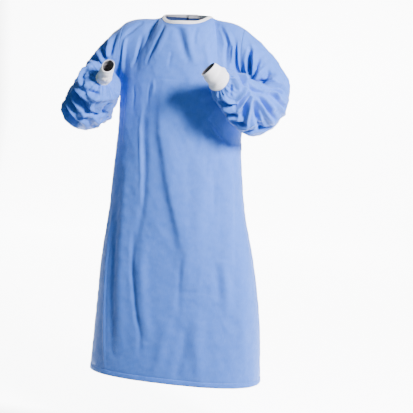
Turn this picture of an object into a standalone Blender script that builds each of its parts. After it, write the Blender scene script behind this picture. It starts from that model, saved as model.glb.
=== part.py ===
"""A worn surgical gown: the hollow shell that stays when the wearer is taken away.

The front faces -Y, +X is the wearer's left, +Z is up, and the origin lies between the two
side points of the neck, where the wearer's shoulders carry the cloth. Lengths are metres.
Each cut piece is a thin wall: a grid of points on its outer face, and the same grid moved
inwards along the cloth's own normals, closed by a rim.
"""

import math
from collections import namedtuple

import bmesh
import bpy
import numpy as np
from mathutils import Vector

# Driving dimensions
CLOTH = 0.0015          # thickness of the blue nonwoven wall
KNIT = 0.0026           # thickness of a knitted cuff
TAPE = 0.0024           # thickness of the neck binding
BAND = 0.0115           # height of the neck binding
SEAM = 0.0004           # room between two pieces at a seam
LENGTH = 1.231          # side point of the neck down to the hem
HEM_RISE = 0.009        # the front of the hem hangs this much higher than its sides
ARMPIT = 0.238          # side point of the neck down to the bottom of the armhole
WAIST = 0.425           # side point of the neck down to the middle of the waist ties
TIE = 0.024             # width of the waist ties
NECK = 0.086            # half the width of the neckline
NECKLINE_FRONT = (-0.078, -0.027)   # y and z of the neckline at centre front
NECKLINE_BACK = (0.066, -0.003)     # y and z of the neckline at centre back
NECKLINE_SIDE = (0.0, -0.003)       # y and z of the neckline at its side points
LEAN_MIDDLE = 0.45      # how far the neck binding leans in for each unit it rises, front and back
LEAN_SIDE = 1.8         # the same at the sides of the neck
BOXINESS = 2.25         # 2 gives elliptic rings round the body, more gives boxier ones
OVERLAP_TOP = 0.055     # share of the half back by which each back panel passes the centre
OVERLAP_HEM = 0.130
BACK_LIFT = 0.0045      # how far the outer back panel lies over the inner one
TIE_CLEAR = 0.0010      # room between a tie and the panel under it
KNOT = Vector((0.030, 0.011, 0.028))    # size of the knot of the waist ties
KNOT_X = -0.021         # the knot lies on the body's middle line
KNOT_BEVEL = 0.0045
TAIL_LENGTH = 0.260     # how far the ties' loose ends reach below the waist
TAIL_ROWS = 9
HALF_BACK = 0.26        # length of half the back, round the body at the waist

# How finely the pieces are divided
NECK_SHARE = 0.44       # share of a half panel's width that ends at the neckline
NECK_COLUMNS = 6
SHOULDER_COLUMNS = 8
BACK_NECK_COLUMNS = 5
BACK_SHOULDER_COLUMNS = 6
ARMHOLE_ROWS = 16
AROUND = 2 * ARMHOLE_ROWS
CAP_STEPS, BEND_STEPS, FORE_STEPS, CUFF_STEPS = 6, 14, 9, 5
BODY_DROPS = (0.300, 0.350, WAIST - TIE / 2, WAIST + TIE / 2, 0.490, 0.560, 0.635, 0.715,
              0.800, 0.885, 0.970, 1.060, 1.150, LENGTH)

TIE_ROWS = [ARMHOLE_ROWS + 3, ARMHOLE_ROWS + 4]     # the panel rows at the ties' two edges

BLUE = (0.20, 0.36, 0.72, 1.0)
WHITE = (0.86, 0.86, 0.88, 1.0)

# The rings round the body, from the armholes down to the hem
Ring = namedtuple("Ring", "drop middle ahead half front back")
RINGS = (
    Ring(ARMPIT, -0.012, 0.000, 0.214, 0.126, 0.108),
    Ring(WAIST, -0.021, -0.002, 0.215, 0.128, 0.100),
    Ring(0.520, -0.023, -0.005, 0.224, 0.131, 0.106),
    Ring(0.640, -0.022, -0.008, 0.236, 0.134, 0.110),
    Ring(0.830, -0.016, -0.012, 0.270, 0.138, 0.114),
    Ring(1.020, -0.011, -0.016, 0.292, 0.142, 0.118),
    Ring(LENGTH, -0.016, -0.018, 0.307, 0.146, 0.122),
)

# The two arms, side +1 is the wearer's left
Arm = namedtuple("Arm", "side tip shoulder elbow wrist cuff_end cuff_way crook base mouth")
LEFT = Arm(1, (0.196, 0.004, -0.038), (0.202, -0.010, -0.115), (0.266, -0.030, -0.310),
           (0.169, -0.212, -0.202), (0.137, -0.238, -0.166), (-0.58, -0.374, 0.70), 0.058,
           (0.036, 0.036), (0.028, 0.028))
RIGHT = Arm(-1, (-0.216, 0.004, -0.022), (-0.220, 0.0, -0.110), (-0.362, -0.045, -0.336),
            (-0.220, -0.205, -0.208), (-0.182, -0.258, -0.166), (0.435, -0.72, 0.533), 0.058,
            (0.024, 0.026), (0.019, 0.026))

# Half sizes of a sleeve from the start of the bend to the wrist seam
Girth = namedtuple("Girth", "at crook away outer inner")
FIRST_RING, BEND_END = 0.10, 0.62
LEFT_GIRTHS = (
    Girth(0.00, 0.052, 0.084, 0.110, 0.022),
    Girth(0.16, 0.046, 0.092, 0.116, 0.030),
    Girth(0.34, 0.044, 0.106, 0.122, 0.048),
    Girth(0.50, 0.044, 0.112, 0.112, 0.056),
    Girth(0.66, 0.046, 0.104, 0.092, 0.056),
    Girth(0.82, 0.048, 0.078, 0.070, 0.054),
    Girth(0.95, 0.043, 0.054, 0.050, 0.046),
    Girth(1.00, 0.036, 0.036, 0.036, 0.036),
)
RIGHT_GIRTHS = (
    Girth(0.00, 0.052, 0.080, 0.078, 0.060),
    Girth(0.16, 0.048, 0.094, 0.076, 0.070),
    Girth(0.34, 0.046, 0.104, 0.076, 0.088),
    Girth(0.50, 0.046, 0.104, 0.074, 0.086),
    Girth(0.66, 0.046, 0.098, 0.070, 0.078),
    Girth(0.82, 0.050, 0.078, 0.064, 0.064),
    Girth(0.95, 0.044, 0.054, 0.052, 0.048),
    Girth(1.00, 0.026, 0.026, 0.024, 0.024),
)

# Long soft folds of the body, each a line seen from the front or the back
Fold = namedtuple("Fold", "x0 z0 x1 z1 width height")
FRONT_FOLDS = (
    Fold(-0.070, -0.030, -0.125, -0.170, 0.018, -0.0060),
    Fold(-0.035, -0.040, 0.000, -0.170, 0.022, -0.0055),
    Fold(-0.160, -0.280, -0.155, -1.180, 0.034, 0.0080),
    Fold(-0.070, -0.300, -0.025, -1.180, 0.036, 0.0080),
    Fold(0.095, -0.850, 0.130, -1.230, 0.036, -0.0070),
    Fold(-0.245, -0.600, -0.280, -1.220, 0.034, -0.0080),
    Fold(0.030, -0.160, 0.180, -0.440, 0.032, -0.0070),
    Fold(0.150, -0.440, 0.175, -1.000, 0.034, 0.0060),
)
BACK_FOLDS = (
    Fold(-0.110, -0.470, -0.150, -1.150, 0.036, 0.0060),
    Fold(-0.200, -0.450, -0.250, -1.000, 0.032, -0.0050),
    Fold(0.080, -0.470, 0.110, -1.120, 0.036, 0.0060),
    Fold(0.170, -0.450, 0.200, -1.050, 0.032, -0.0050),
)

# The largest creases of the sleeves: how far each lifts the cloth, and the line that it runs
# along, as places from the bend's start to the wrist with angles in degrees
Crease = namedtuple("Crease", "height points")
LEFT_CREASES = (
    Crease(-0.0050, ((0.380, 118), (0.320, 140), (0.270, 185))),
    Crease(0.0045, ((0.480, 128), (0.400, 150), (0.320, 195))),
    Crease(-0.0055, ((0.700, 172), (0.548, 184), (0.360, 214), (0.320, 240))),
    Crease(0.0060, ((0.744, 204), (0.655, 214), (0.440, 238))),
    Crease(-0.0065, ((0.748, 212), (0.680, 228), (0.520, 250))),
    Crease(0.0065, ((0.774, 204), (0.772, 222), (0.630, 264))),
    Crease(-0.0060, ((0.800, 208), (0.790, 232), (0.745, 256))),
    Crease(0.0050, ((0.842, 192), (0.856, 214), (0.872, 242))),
    Crease(-0.0050, ((0.935, 296), (0.888, 266), (0.835, 246))),
    Crease(0.0050, ((0.875, 294), (0.830, 272), (0.790, 246))),
    Crease(-0.0055, ((0.130, 180), (0.170, 200), (0.260, 226), (0.380, 240))),
    Crease(0.0055, ((0.140, 222), (0.230, 244), (0.340, 256))),
    Crease(-0.0055, ((0.140, 252), (0.250, 266), (0.400, 270))),
    Crease(0.0050, ((0.140, 276), (0.270, 284), (0.420, 284))),
    Crease(-0.0050, ((0.180, 300), (0.420, 310), (0.560, 306))),
)
RIGHT_CREASES = (
    Crease(0.0065, ((0.800, 196), (0.868, 236), (0.888, 262), (0.870, 282))),
    Crease(-0.0070, ((0.770, 206), (0.806, 254), (0.728, 302))),
    Crease(-0.0055, ((0.660, 206), (0.700, 232), (0.694, 258))),
    Crease(0.0060, ((0.600, 204), (0.652, 228), (0.636, 276))),
    Crease(-0.0055, ((0.540, 208), (0.610, 240), (0.585, 280))),
    Crease(0.0055, ((0.470, 208), (0.566, 250), (0.540, 286))),
    Crease(-0.0060, ((0.726, 296), (0.728, 320), (0.690, 342))),
    Crease(0.0050, ((0.690, 302), (0.630, 322), (0.500, 324))),
    Crease(-0.0055, ((0.240, 130), (0.270, 156), (0.350, 184))),
    Crease(-0.0055, ((0.130, 210), (0.230, 224), (0.380, 232))),
    Crease(0.0055, ((0.130, 236), (0.230, 250), (0.380, 256))),
    Crease(-0.0055, ((0.130, 262), (0.250, 272), (0.420, 278))),
    Crease(0.0050, ((0.160, 292), (0.300, 300), (0.440, 300))),
    Crease(-0.0050, ((0.150, 320), (0.280, 326), (0.520, 336))),
)
CREASE_WIDTH = 0.018    # the distance at which a crease has almost run out
CREASE_LEGS = 6         # straight pieces between two points of a crease
GATHER = 0.0026         # height of the cloth gathered into each cuff
GATHER_FROM, GATHER_TO = 0.84, 0.985


def unit(vector):
    """The vector, or each row of an array of vectors, at length 1."""
    vector = np.asarray(vector, float)
    return vector / np.linalg.norm(vector, axis=-1, keepdims=True)


def ease(value):
    """A smooth step from 0 to 1."""
    value = np.clip(value, 0.0, 1.0)
    return value * value * (3.0 - 2.0 * value)


def column(table, key, name, where):
    """One column of a table, read as a smooth curve along its key column."""
    knots = np.array([getattr(row, key) for row in table], float)
    values = np.array([getattr(row, name) for row in table], float)
    steps = np.diff(values) / np.diff(knots)
    slopes = np.concatenate([steps[:1], (steps[1:] + steps[:-1]) / 2, steps[-1:]])
    turns = np.concatenate([[False], steps[1:] * steps[:-1] <= 0, [False]])
    slopes[turns] = 0.0
    where = np.clip(where, knots[0], knots[-1])
    row = np.clip(np.searchsorted(knots, where, side="right") - 1, 0, len(knots) - 2)
    span = knots[row + 1] - knots[row]
    t = (where - knots[row]) / span
    return ((2 * t**3 - 3 * t**2 + 1) * values[row]
            + (t**3 - 2 * t**2 + t) * span * slopes[row]
            + (3 * t**2 - 2 * t**3) * values[row + 1]
            + (t**3 - t**2) * span * slopes[row + 1])


def bezier(a, b, c, d, t):
    """A cubic curve from a to d with the handles b and c."""
    t = t[..., None]
    return (1 - t) ** 3 * a + 3 * (1 - t) ** 2 * t * b + 3 * (1 - t) * t**2 * c + t**3 * d


def body_ring(angle, drop):
    """A point round the body: angle 0 is centre front, 90 degrees the wearer's left side."""
    power = 2.0 / BOXINESS
    across, ahead = np.sin(angle), np.cos(angle)
    x = column(RINGS, "drop", "middle", drop)
    x = x + column(RINGS, "drop", "half", drop) * np.sign(across) * np.abs(across) ** power
    depth = np.where(ahead > 0, column(RINGS, "drop", "front", drop),
                     column(RINGS, "drop", "back", drop))
    y = column(RINGS, "drop", "ahead", drop) - depth * np.sign(ahead) * np.abs(ahead) ** power
    return np.stack([x, y, -drop * np.ones_like(x)], axis=-1)


def neckline(across, facing):
    """The neckline's point and the neck binding's upward direction, across from -1 to 1."""
    turn = np.clip(across / NECK_SHARE, -1, 1) * math.pi / 2
    middle = NECKLINE_FRONT if facing > 0 else NECKLINE_BACK
    point = np.stack([
        NECK * np.sin(turn),
        NECKLINE_SIDE[0] + (middle[0] - NECKLINE_SIDE[0]) * np.cos(turn),
        NECKLINE_SIDE[1] + (middle[1] - NECKLINE_SIDE[1]) * (1 - np.sin(turn) ** 4),
    ], axis=-1)
    inward = np.stack([-np.sin(turn), facing * np.cos(turn), np.zeros_like(turn)], axis=-1)
    lean = LEAN_MIDDLE + (LEAN_SIDE - LEAN_MIDDLE) * np.sin(turn)[..., None] ** 2
    return point, unit(inward * lean + np.array([0.0, 0.0, 1.0]))


def top_edge(across, facing):
    """The neckline and shoulder seam, and the direction in which the cloth reaches them."""
    side = np.where(across >= 0, 1.0, -1.0)
    reach = np.abs(across)
    neck, rising = neckline(across, facing)
    tip = np.where(side[..., None] > 0, np.array(LEFT.tip), np.array(RIGHT.tip))
    corner, corner_rise = neckline(side, facing)
    along = np.clip((reach - NECK_SHARE) / (1 - NECK_SHARE), 0, 1)
    run = tip - corner
    shoulder = bezier(corner, corner - corner_rise * 0.030, tip - run * 0.40
                      + np.array([0, 0, 0.016]), tip, along)
    edge = np.where((reach < NECK_SHARE)[..., None], neck, shoulder)
    lying = ease((reach - NECK_SHARE + 0.28) / 0.56)[..., None]
    arriving = unit(rising * (1 - lying) + np.array([0.0, facing, 0.0]) * lying)
    near_corner = np.exp(-((reach - NECK_SHARE) / 0.16) ** 2)[..., None]
    return edge, arriving * (1 - 0.45 * near_corner)


def body(across, down, facing):
    """A point of the plain front (facing 1) or back (facing -1).

    Across runs from -1 at the right side to 1 at the left, down from 0 at the top edge
    through 1 at the armholes' bottom to 2 at the hem.
    """
    across, down = np.broadcast_arrays(np.asarray(across, float), np.asarray(down, float))
    angle = across * math.pi / 2
    if facing < 0:
        angle = math.pi - angle
    hem = LENGTH - HEM_RISE * np.maximum(np.cos(angle), 0) ** 2
    lower = body_ring(angle, ARMPIT + (hem - ARMPIT) * np.clip(down - 1, 0, 1))
    start = body_ring(angle, np.full_like(across, ARMPIT))
    below = body_ring(angle, np.full_like(across, ARMPIT + 0.02))
    edge, arriving = top_edge(across, facing)
    rim = (np.abs(across) ** 5)[..., None]
    climb = unit(start - below)
    swing = unit(np.array([0.0, -facing, 0.55]))
    first = start + climb * 0.080 * (1 - rim) + swing * 0.080 * rim
    second = edge - arriving * (0.055 + 0.040 * rim) - np.array([0, 0, 0.030]) * rim
    upper = bezier(start, first, second, edge, np.clip(1 - down, 0, 1))
    return np.where((down > 1)[..., None], lower, upper)


def fold_height(points, folds):
    """How far the folds lift the cloth at each point, seen along Y."""
    total = np.zeros(points.shape[:-1])
    for fold in folds:
        start = np.array([fold.x0, fold.z0])
        run = np.array([fold.x1, fold.z1]) - start
        offset = points[..., [0, 2]] - start
        along = np.clip(offset @ run / (run @ run), 0, 1)
        distance = np.linalg.norm(offset - along[..., None] * run, axis=-1)
        taper = np.sin(math.pi * along) ** 0.6
        total += fold.height * taper * np.exp(-1.6 * (distance / fold.width) ** 2)
    return total


def grid_normals(grid, wrap=False):
    """The outward normals of a grid of points, rows down the cloth, columns to the left."""
    if wrap:
        along = np.roll(grid, -1, axis=1) - np.roll(grid, 1, axis=1)
    else:
        along = np.gradient(grid, axis=1)
    return unit(np.cross(np.gradient(grid, axis=0), along))


def panel(columns, rows, facing, folds, lift=0.0):
    """A body panel's outer grid and its normals, before its seams are opened."""
    across, down = np.meshgrid(np.array(columns), np.array(rows))
    if facing < 0:
        side = np.sign(columns[0])
        past = np.clip(NECK_SHARE - across * side, 0, None) / (NECK_SHARE + OVERLAP_TOP)
        across = across - side * past * (OVERLAP_HEM - OVERLAP_TOP) * down / 2
    grid = body(across, down, facing)
    normals = grid_normals(grid) * (1.0 if facing * (columns[-1] - columns[0]) > 0 else -1.0)
    fade = ease((1 - np.abs(across)) / 0.15) * ease(down / 0.15)
    height = fold_height(grid, folds) * fade
    if lift:
        height = height + lift * ease((0.62 - across * np.sign(columns[0])) / 0.30)
    grid = grid + normals * height[..., None]
    normals = grid_normals(grid) * (1.0 if facing * (columns[-1] - columns[0]) > 0 else -1.0)
    return grid, normals


def seam_normals(grid, normals, columns, facing):
    """Give both cloths at a shoulder seam, a side seam or the neckline the same normal."""
    columns = np.array(columns)
    on_neck = np.abs(columns) <= NECK_SHARE + 1e-9
    point, rising = neckline(columns, facing)
    outward = point * np.array([1.0, 1.0, 0.0])
    upright = unit(outward - (outward * rising).sum(-1, keepdims=True) * rising)
    run = np.gradient(grid[0], axis=0)
    crown = unit(np.cross(run, np.array([0.0, 1.0, 0.0])))
    crown = crown * np.sign(crown[:, 2:])
    normals[0] = np.where(on_neck[:, None], upright, crown)
    for end in (0, -1):
        if abs(columns[end]) > 1 - 1e-9:
            normals[ARMHOLE_ROWS:, end] = np.array([np.sign(columns[end]), 0.0, 0.0])
    return normals


def open_seams(grid, columns, facing):
    """Draw a panel's edges back from its shoulder and side seams by half the seam's room."""
    moved = grid.copy()
    on_shoulder = np.abs(np.array(columns)) > NECK_SHARE - 1e-9
    moved[0, on_shoulder] += np.array([0.0, -facing * SEAM / 2, 0.0])
    for end, inner in ((0, 1), (-1, -2)):
        if abs(columns[end]) > 1 - 1e-9:
            moved[ARMHOLE_ROWS:, end] += unit(grid[:, inner] - grid[:, end])[ARMHOLE_ROWS:] * SEAM / 2
    return moved


def neck_edge(grid, columns, facing, order):
    """A panel's part of the neckline with the binding's rise and outward normal there."""
    columns = np.array(columns)
    point, rising = neckline(columns, facing)
    outward = point * np.array([1.0, 1.0, 0.0])
    outward = unit(outward - (outward * rising).sum(-1, keepdims=True) * rising)
    keep = np.flatnonzero(np.abs(columns) <= NECK_SHARE + 1e-9)[::order]
    return grid[0, keep], rising[keep], outward[keep]


def add_piece(name, outer, inner, color, roughness, wrap=False):
    """Make one closed thin piece from its outer and inner grids."""
    rows, cols = outer.shape[:2]
    mesh = bmesh.new()
    skins = [[[mesh.verts.new(point) for point in line] for line in skin] for skin in (outer, inner)]
    last = cols if wrap else cols - 1
    for skin in skins:
        for r in range(rows - 1):
            for c in range(last):
                n = (c + 1) % cols
                a, b, d, e = skin[r][c], skin[r][n], skin[r + 1][n], skin[r + 1][c]
                mesh.faces.new((a, b, d))
                mesh.faces.new((a, d, e))
    rims = [[(r, c) for c in range(cols)] for r in (0, rows - 1)]
    if wrap:
        rims = [rim + rim[:1] for rim in rims]
    else:
        rims += [[(r, c) for r in range(rows)] for c in (0, cols - 1)]
    for rim in rims:
        for (r0, c0), (r1, c1) in zip(rim, rim[1:]):
            a, b = skins[0][r0][c0], skins[0][r1][c1]
            d, e = skins[1][r1][c1], skins[1][r0][c0]
            mesh.faces.new((a, b, d))
            mesh.faces.new((a, d, e))
    finish_piece(name, mesh, color, roughness)


def finish_piece(name, mesh, color, roughness):
    """Turn a finished bmesh into a named object with its own material."""
    bmesh.ops.recalc_face_normals(mesh, faces=mesh.faces)
    data = bpy.data.meshes.new(name)
    mesh.to_mesh(data)
    mesh.free()
    data.shade_smooth()
    data.set_sharp_from_angle(angle=math.radians(50))
    material = bpy.data.materials.new(name)
    material.use_nodes = True
    shader = material.node_tree.nodes["Principled BSDF"]
    shader.inputs["Base Color"].default_value = color
    shader.inputs["Roughness"].default_value = roughness
    shader.inputs["Metallic"].default_value = 0.0
    data.materials.append(material)
    piece = bpy.data.objects.new(name, data)
    bpy.context.collection.objects.link(piece)


def arm_frame(arm):
    """The upper arm's and forearm's directions, the bend's axis and turn, and its pivot."""
    shoulder, elbow, wrist = (np.array(p) for p in (arm.shoulder, arm.elbow, arm.wrist))
    upper, fore = unit(elbow - shoulder), unit(wrist - elbow)
    axis = unit(np.cross(upper, fore))
    turn = math.acos(upper @ fore)
    pivot = elbow + unit(fore - upper) * arm.crook / math.cos(turn / 2)
    return upper, fore, axis, turn, pivot


def sleeve_ring(arm, girths, at, angle):
    """A point of the plain sleeve from the start of the bend, at 0, to the wrist seam, at 1.

    Angle 0 faces the body, 90 degrees the crook, 180 degrees outwards.
    """
    upper, fore, axis, turn, pivot = arm_frame(arm)
    at, angle = np.broadcast_arrays(np.asarray(at, float), np.asarray(angle, float))
    swung = (np.clip(at / BEND_END, 0, 1) * turn)[..., None]
    along = np.cos(swung) * upper + np.sin(swung) * np.cross(axis, upper)
    to_crook = np.cross(axis, along)
    straight = np.linalg.norm(np.array(arm.wrist) - arm.elbow) - arm.crook * math.tan(turn / 2)
    extra = (np.clip((at - BEND_END) / (1 - BEND_END), 0, 1) * straight)[..., None]
    centre = pivot - arm.crook * to_crook + along * extra
    inwards, crookwards = np.cos(angle), np.sin(angle)
    half_in = np.where(inwards > 0, column(girths, "at", "inner", at), column(girths, "at", "outer", at))
    half_crook = np.where(crookwards > 0, column(girths, "at", "crook", at),
                          column(girths, "at", "away", at))
    return (centre + arm.side * axis * (inwards * half_in)[..., None]
            + to_crook * (crookwards * half_crook)[..., None])


def crease_height(arm, girths, creases, points):
    """How far the creases lift the cloth at each point of a sleeve."""
    total = np.zeros(points.shape[:-1])
    for crease in creases:
        knots = np.arange(len(crease.points))
        fine = np.linspace(0, knots[-1], knots[-1] * CREASE_LEGS + 1)
        at, angle = (np.interp(fine, knots, values) for values in zip(*crease.points))
        line = sleeve_ring(arm, girths, at, np.radians(angle))
        taper = np.sin(math.pi * np.linspace(0.08, 0.92, len(line)))
        distance = np.linalg.norm(points[..., None, :] - line, axis=-1)
        nearest = distance.argmin(axis=-1)
        fall = np.exp(-(distance.min(axis=-1) / CREASE_WIDTH) ** 2)
        total += crease.height * fall * taper[nearest]
    return total


def armhole_frame(arm, loop):
    """The directions in which the sleeve leaves the armhole, and its normals there."""
    angle = np.arange(AROUND) * 2 * math.pi / AROUND
    fall = 0.10 + 0.60 * (1 - np.cos(angle)) / 2
    outward = unit(np.stack([np.full(AROUND, float(arm.side)), np.zeros(AROUND), -fall], axis=-1))
    tangent = np.roll(loop, -1, axis=0) - np.roll(loop, 1, axis=0)
    normals = unit(np.cross(outward, tangent))
    middle = loop.mean(axis=0)
    facing = np.sign(((loop - middle) * normals).sum(axis=-1, keepdims=True))
    return outward, normals * facing


def sleeve(arm, girths, creases, loop):
    """A sleeve's outer grid and normals: cap, bend and forearm, gathered at the wrist."""
    angle = np.arange(AROUND) * 2 * math.pi / AROUND
    first = sleeve_ring(arm, girths, np.full(AROUND, FIRST_RING), angle)
    second = sleeve_ring(arm, girths, np.full(AROUND, FIRST_RING + 0.01), angle)
    upper = unit(second - first)
    reach = np.linalg.norm(first - loop, axis=-1, keepdims=True)
    outward, loop_normals = armhole_frame(arm, loop)
    start = loop + outward * SEAM
    rows = [bezier(start, start + outward * reach * 0.35, first - upper * reach * 0.35, first,
                   np.full(AROUND, step / CAP_STEPS)) for step in range(CAP_STEPS)]
    at = np.concatenate([np.linspace(FIRST_RING, BEND_END, BEND_STEPS + 1),
                         np.linspace(BEND_END, 1, FORE_STEPS + 1)[1:]])
    at_grid, angle_grid = np.meshgrid(at, angle, indexing="ij")
    bent = sleeve_ring(arm, girths, at_grid, angle_grid)
    grid = np.concatenate([np.array(rows), bent])
    normals = grid_normals(grid, wrap=True) * arm.side
    height = np.zeros(grid.shape[:2])
    height[CAP_STEPS:] = crease_height(arm, girths, creases, bent) * ease((at_grid - FIRST_RING) / 0.05)
    gather = np.where(np.arange(AROUND) % 2, 1.0, -1.0) * GATHER
    held = ease((at_grid - GATHER_FROM) / 0.10) * ease((1 - at_grid) / (1 - GATHER_TO))
    height[CAP_STEPS:] += gather * held
    grid = grid + normals * height[..., None]
    normals = grid_normals(grid, wrap=True) * arm.side
    normals[0] = loop_normals
    centre = np.array(arm.wrist)
    normals[-1] = unit(grid[-1] - centre)
    return grid, normals


def cuff(arm, rim):
    """A cuff's outer grid and normals, from the wrist seam to the open mouth."""
    _, fore, axis, _, _ = arm_frame(arm)
    wrist, end, way = np.array(arm.wrist), np.array(arm.cuff_end), unit(arm.cuff_way)
    angle = np.arange(AROUND) * 2 * math.pi / AROUND
    reach = np.linalg.norm(end - wrist)
    grid = [rim + fore * SEAM]
    normals = [unit(rim - wrist)]
    for step in range(1, CUFF_STEPS + 1):
        share = np.array(step / CUFF_STEPS)
        centre = bezier(wrist, wrist + fore * reach * 0.3, end - way * reach * 0.3, end, share)
        facing = unit(fore + (way - fore) * ease(share))
        inwards = arm.side * axis
        inwards = unit(inwards - (inwards @ facing) * facing)
        crookwards = arm.side * np.cross(inwards, facing)
        wide, deep = (base + (mouth - base) * ease(share) for base, mouth in zip(arm.base, arm.mouth))
        spoke = np.cos(angle)[:, None] * inwards * wide + np.sin(angle)[:, None] * crookwards * deep
        grid.append(centre + spoke)
        normals.append(unit(np.cos(angle)[:, None] * inwards / wide
                            + np.sin(angle)[:, None] * crookwards / deep))
    return np.array(grid), np.array(normals)


def neck_binding(edges):
    """The binding's bottom edge, its rise and its outward normal along the whole neckline."""
    bottom, rising, outward = (np.concatenate(part) for part in zip(*edges))
    outer = np.stack([bottom + rising * (BAND + SEAM), bottom + rising * SEAM])
    outer = outer + outward * (TAPE - CLOTH) / 2
    return outer, outer - outward * TAPE


def strap(grid, normals, columns, raise_by):
    """A waist tie over a back panel, from its side seam to the knot at the middle of the back."""
    reach = np.abs(np.array(columns))
    before_knot = np.flatnonzero(np.array(columns) * np.sign(columns[0]) > 0.10)
    lift = TIE_CLEAR + raise_by * ease((0.50 - reach) / 0.30)
    lines = []
    for row in TIE_ROWS:
        points = grid[row] + normals[row] * lift[:, None]
        near, past = points[before_knot[-1]], points[before_knot[-1] + 1]
        share = (abs(near[0] - KNOT_X) - KNOT.x / 2 - SEAM) / abs(near[0] - past[0])
        end = near + (past - near) * share
        lines.append(np.concatenate([points[before_knot], end[None]]))
    kept = np.append(before_knot, before_knot[-1])
    return np.array(lines), normals[TIE_ROWS][:, kept]


def add_knot(middle):
    """The flat knot in which the two waist ties meet at the middle of the back."""
    mesh = bmesh.new()
    bmesh.ops.create_cube(mesh, size=1.0)
    bmesh.ops.scale(mesh, vec=(KNOT.x, KNOT.y, KNOT.z), verts=mesh.verts)
    rims = [edge for edge in mesh.edges if abs((edge.verts[0].co - edge.verts[1].co).x) < 1e-6]
    bmesh.ops.bevel(mesh, geom=rims, offset=KNOT_BEVEL, segments=2, affect="EDGES", profile=0.6)
    bmesh.ops.translate(mesh, vec=middle, verts=mesh.verts)
    finish_piece("tie_knot", mesh, BLUE, 0.75)


def tail(start, end, lift):
    """A hanging end of a waist tie, from under the knot down over the outer back panel."""
    drops = np.linspace(WAIST + KNOT.z / 2 + SEAM, WAIST + TAIL_LENGTH, TAIL_ROWS)
    centre = np.linspace(start, end, TAIL_ROWS)
    half = TIE / 2 / HALF_BACK
    across = np.stack([centre - half, centre + half], axis=1)
    down = 1 + (drops - ARMPIT) / (LENGTH - ARMPIT)
    grid = body(across, np.repeat(down[:, None], 2, axis=1), -1)
    normals = np.zeros_like(grid)
    normals[..., 1] = 1.0
    return grid + normals * lift, normals


def steps(start, end, count):
    """Evenly spaced values from start to end, both included."""
    return list(np.linspace(start, end, count + 1))


def build():
    """Model every piece of the gown."""
    for leftover in list(bpy.data.objects):
        bpy.data.objects.remove(leftover, do_unlink=True)
    rows = steps(0, 1, ARMHOLE_ROWS) + [1 + (d - ARMPIT) / (LENGTH - ARMPIT) for d in BODY_DROPS]
    columns = {
        "front": (steps(-1, -NECK_SHARE, SHOULDER_COLUMNS)
                  + steps(-NECK_SHARE, NECK_SHARE, 2 * NECK_COLUMNS)[1:]
                  + steps(NECK_SHARE, 1, SHOULDER_COLUMNS)[1:]),
    }
    for name, side in (("back_left", 1), ("back_right", -1)):
        columns[name] = (steps(side, side * NECK_SHARE, BACK_SHOULDER_COLUMNS)
                         + steps(side * NECK_SHARE, -side * OVERLAP_TOP, BACK_NECK_COLUMNS)[1:])
    grids, normals = {}, {}
    for name, facing, folds, lift in (("front", 1, FRONT_FOLDS, 0.0), ("back_left", -1, BACK_FOLDS, 0.0),
                                      ("back_right", -1, BACK_FOLDS, BACK_LIFT)):
        grid, normal = panel(columns[name], rows, facing, folds, lift)
        normals[name] = seam_normals(grid, normal, columns[name], facing)
        grids[name] = open_seams(grid, columns[name], facing)

    top = ARMHOLE_ROWS
    for name, arm, girths, creases, end in (("left", LEFT, LEFT_GIRTHS, LEFT_CREASES, -1),
                                            ("right", RIGHT, RIGHT_GIRTHS, RIGHT_CREASES, 0)):
        back = "back_" + name
        loop = np.concatenate([grids["front"][top::-1, end], grids[back][1:top, 0]])
        _, loop_normals = armhole_frame(arm, loop)
        shared = ease((top - np.arange(top + 1)) / 5.0)[:, None]
        for panel_name, column_index, seam in (("front", end, loop_normals[top::-1]),
                                               (back, 0, np.roll(loop_normals, -top, axis=0)[:top + 1])):
            own = normals[panel_name][:top + 1, column_index]
            normals[panel_name][:top + 1, column_index] = unit(seam * shared + own * (1 - shared))
        grid, normal = sleeve(arm, girths, creases, loop)
        add_piece("sleeve_" + name, grid, grid - normal * CLOTH, BLUE, 0.75, wrap=True)
        grid, normal = cuff(arm, grid[-1])
        add_piece("cuff_" + name, grid, grid - normal * KNIT, WHITE, 0.9, wrap=True)
    for name, grid in grids.items():
        add_piece(name, grid, grid - normals[name] * CLOTH, BLUE, 0.75)

    edges = (neck_edge(grids["back_left"], columns["back_left"], -1, -1),
             neck_edge(grids["front"], columns["front"], 1, -1),
             neck_edge(grids["back_right"], columns["back_right"], -1, 1))
    outer, inner = neck_binding(edges)
    add_piece("neck_binding", outer, inner, WHITE, 0.85)

    for name, raise_by in (("left", BACK_LIFT), ("right", 0.0)):
        back = "back_" + name
        grid, normal = strap(grids[back], normals[back], columns[back], raise_by)
        add_piece("tie_" + name, grid + normal * CLOTH, grid, BLUE, 0.75)
    behind = grids["back_right"][TIE_ROWS][:, BACK_SHOULDER_COLUMNS:, 1].max()
    add_knot(Vector((KNOT_X, behind + TIE_CLEAR + KNOT.y / 2, -WAIST)))
    for name, start, end, lift in (("left", 0.055, 0.16, 0.0125), ("right", -0.055, -0.10, 0.0085)):
        grid, normal = tail(start, end, lift)
        add_piece("tie_end_" + name, grid + normal * CLOTH, grid, BLUE, 0.75)


build()
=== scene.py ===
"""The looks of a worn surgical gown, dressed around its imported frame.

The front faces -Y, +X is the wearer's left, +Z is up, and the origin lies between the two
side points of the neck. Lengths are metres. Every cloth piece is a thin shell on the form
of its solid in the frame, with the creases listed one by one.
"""

import logging
import math
from dataclasses import dataclass, field, replace
from enum import Enum
from typing import Any, ClassVar, Iterable, Sequence

import bpy
import numpy as np
from mathutils import Matrix, Vector
from mathutils.bvhtree import BVHTree


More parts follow.
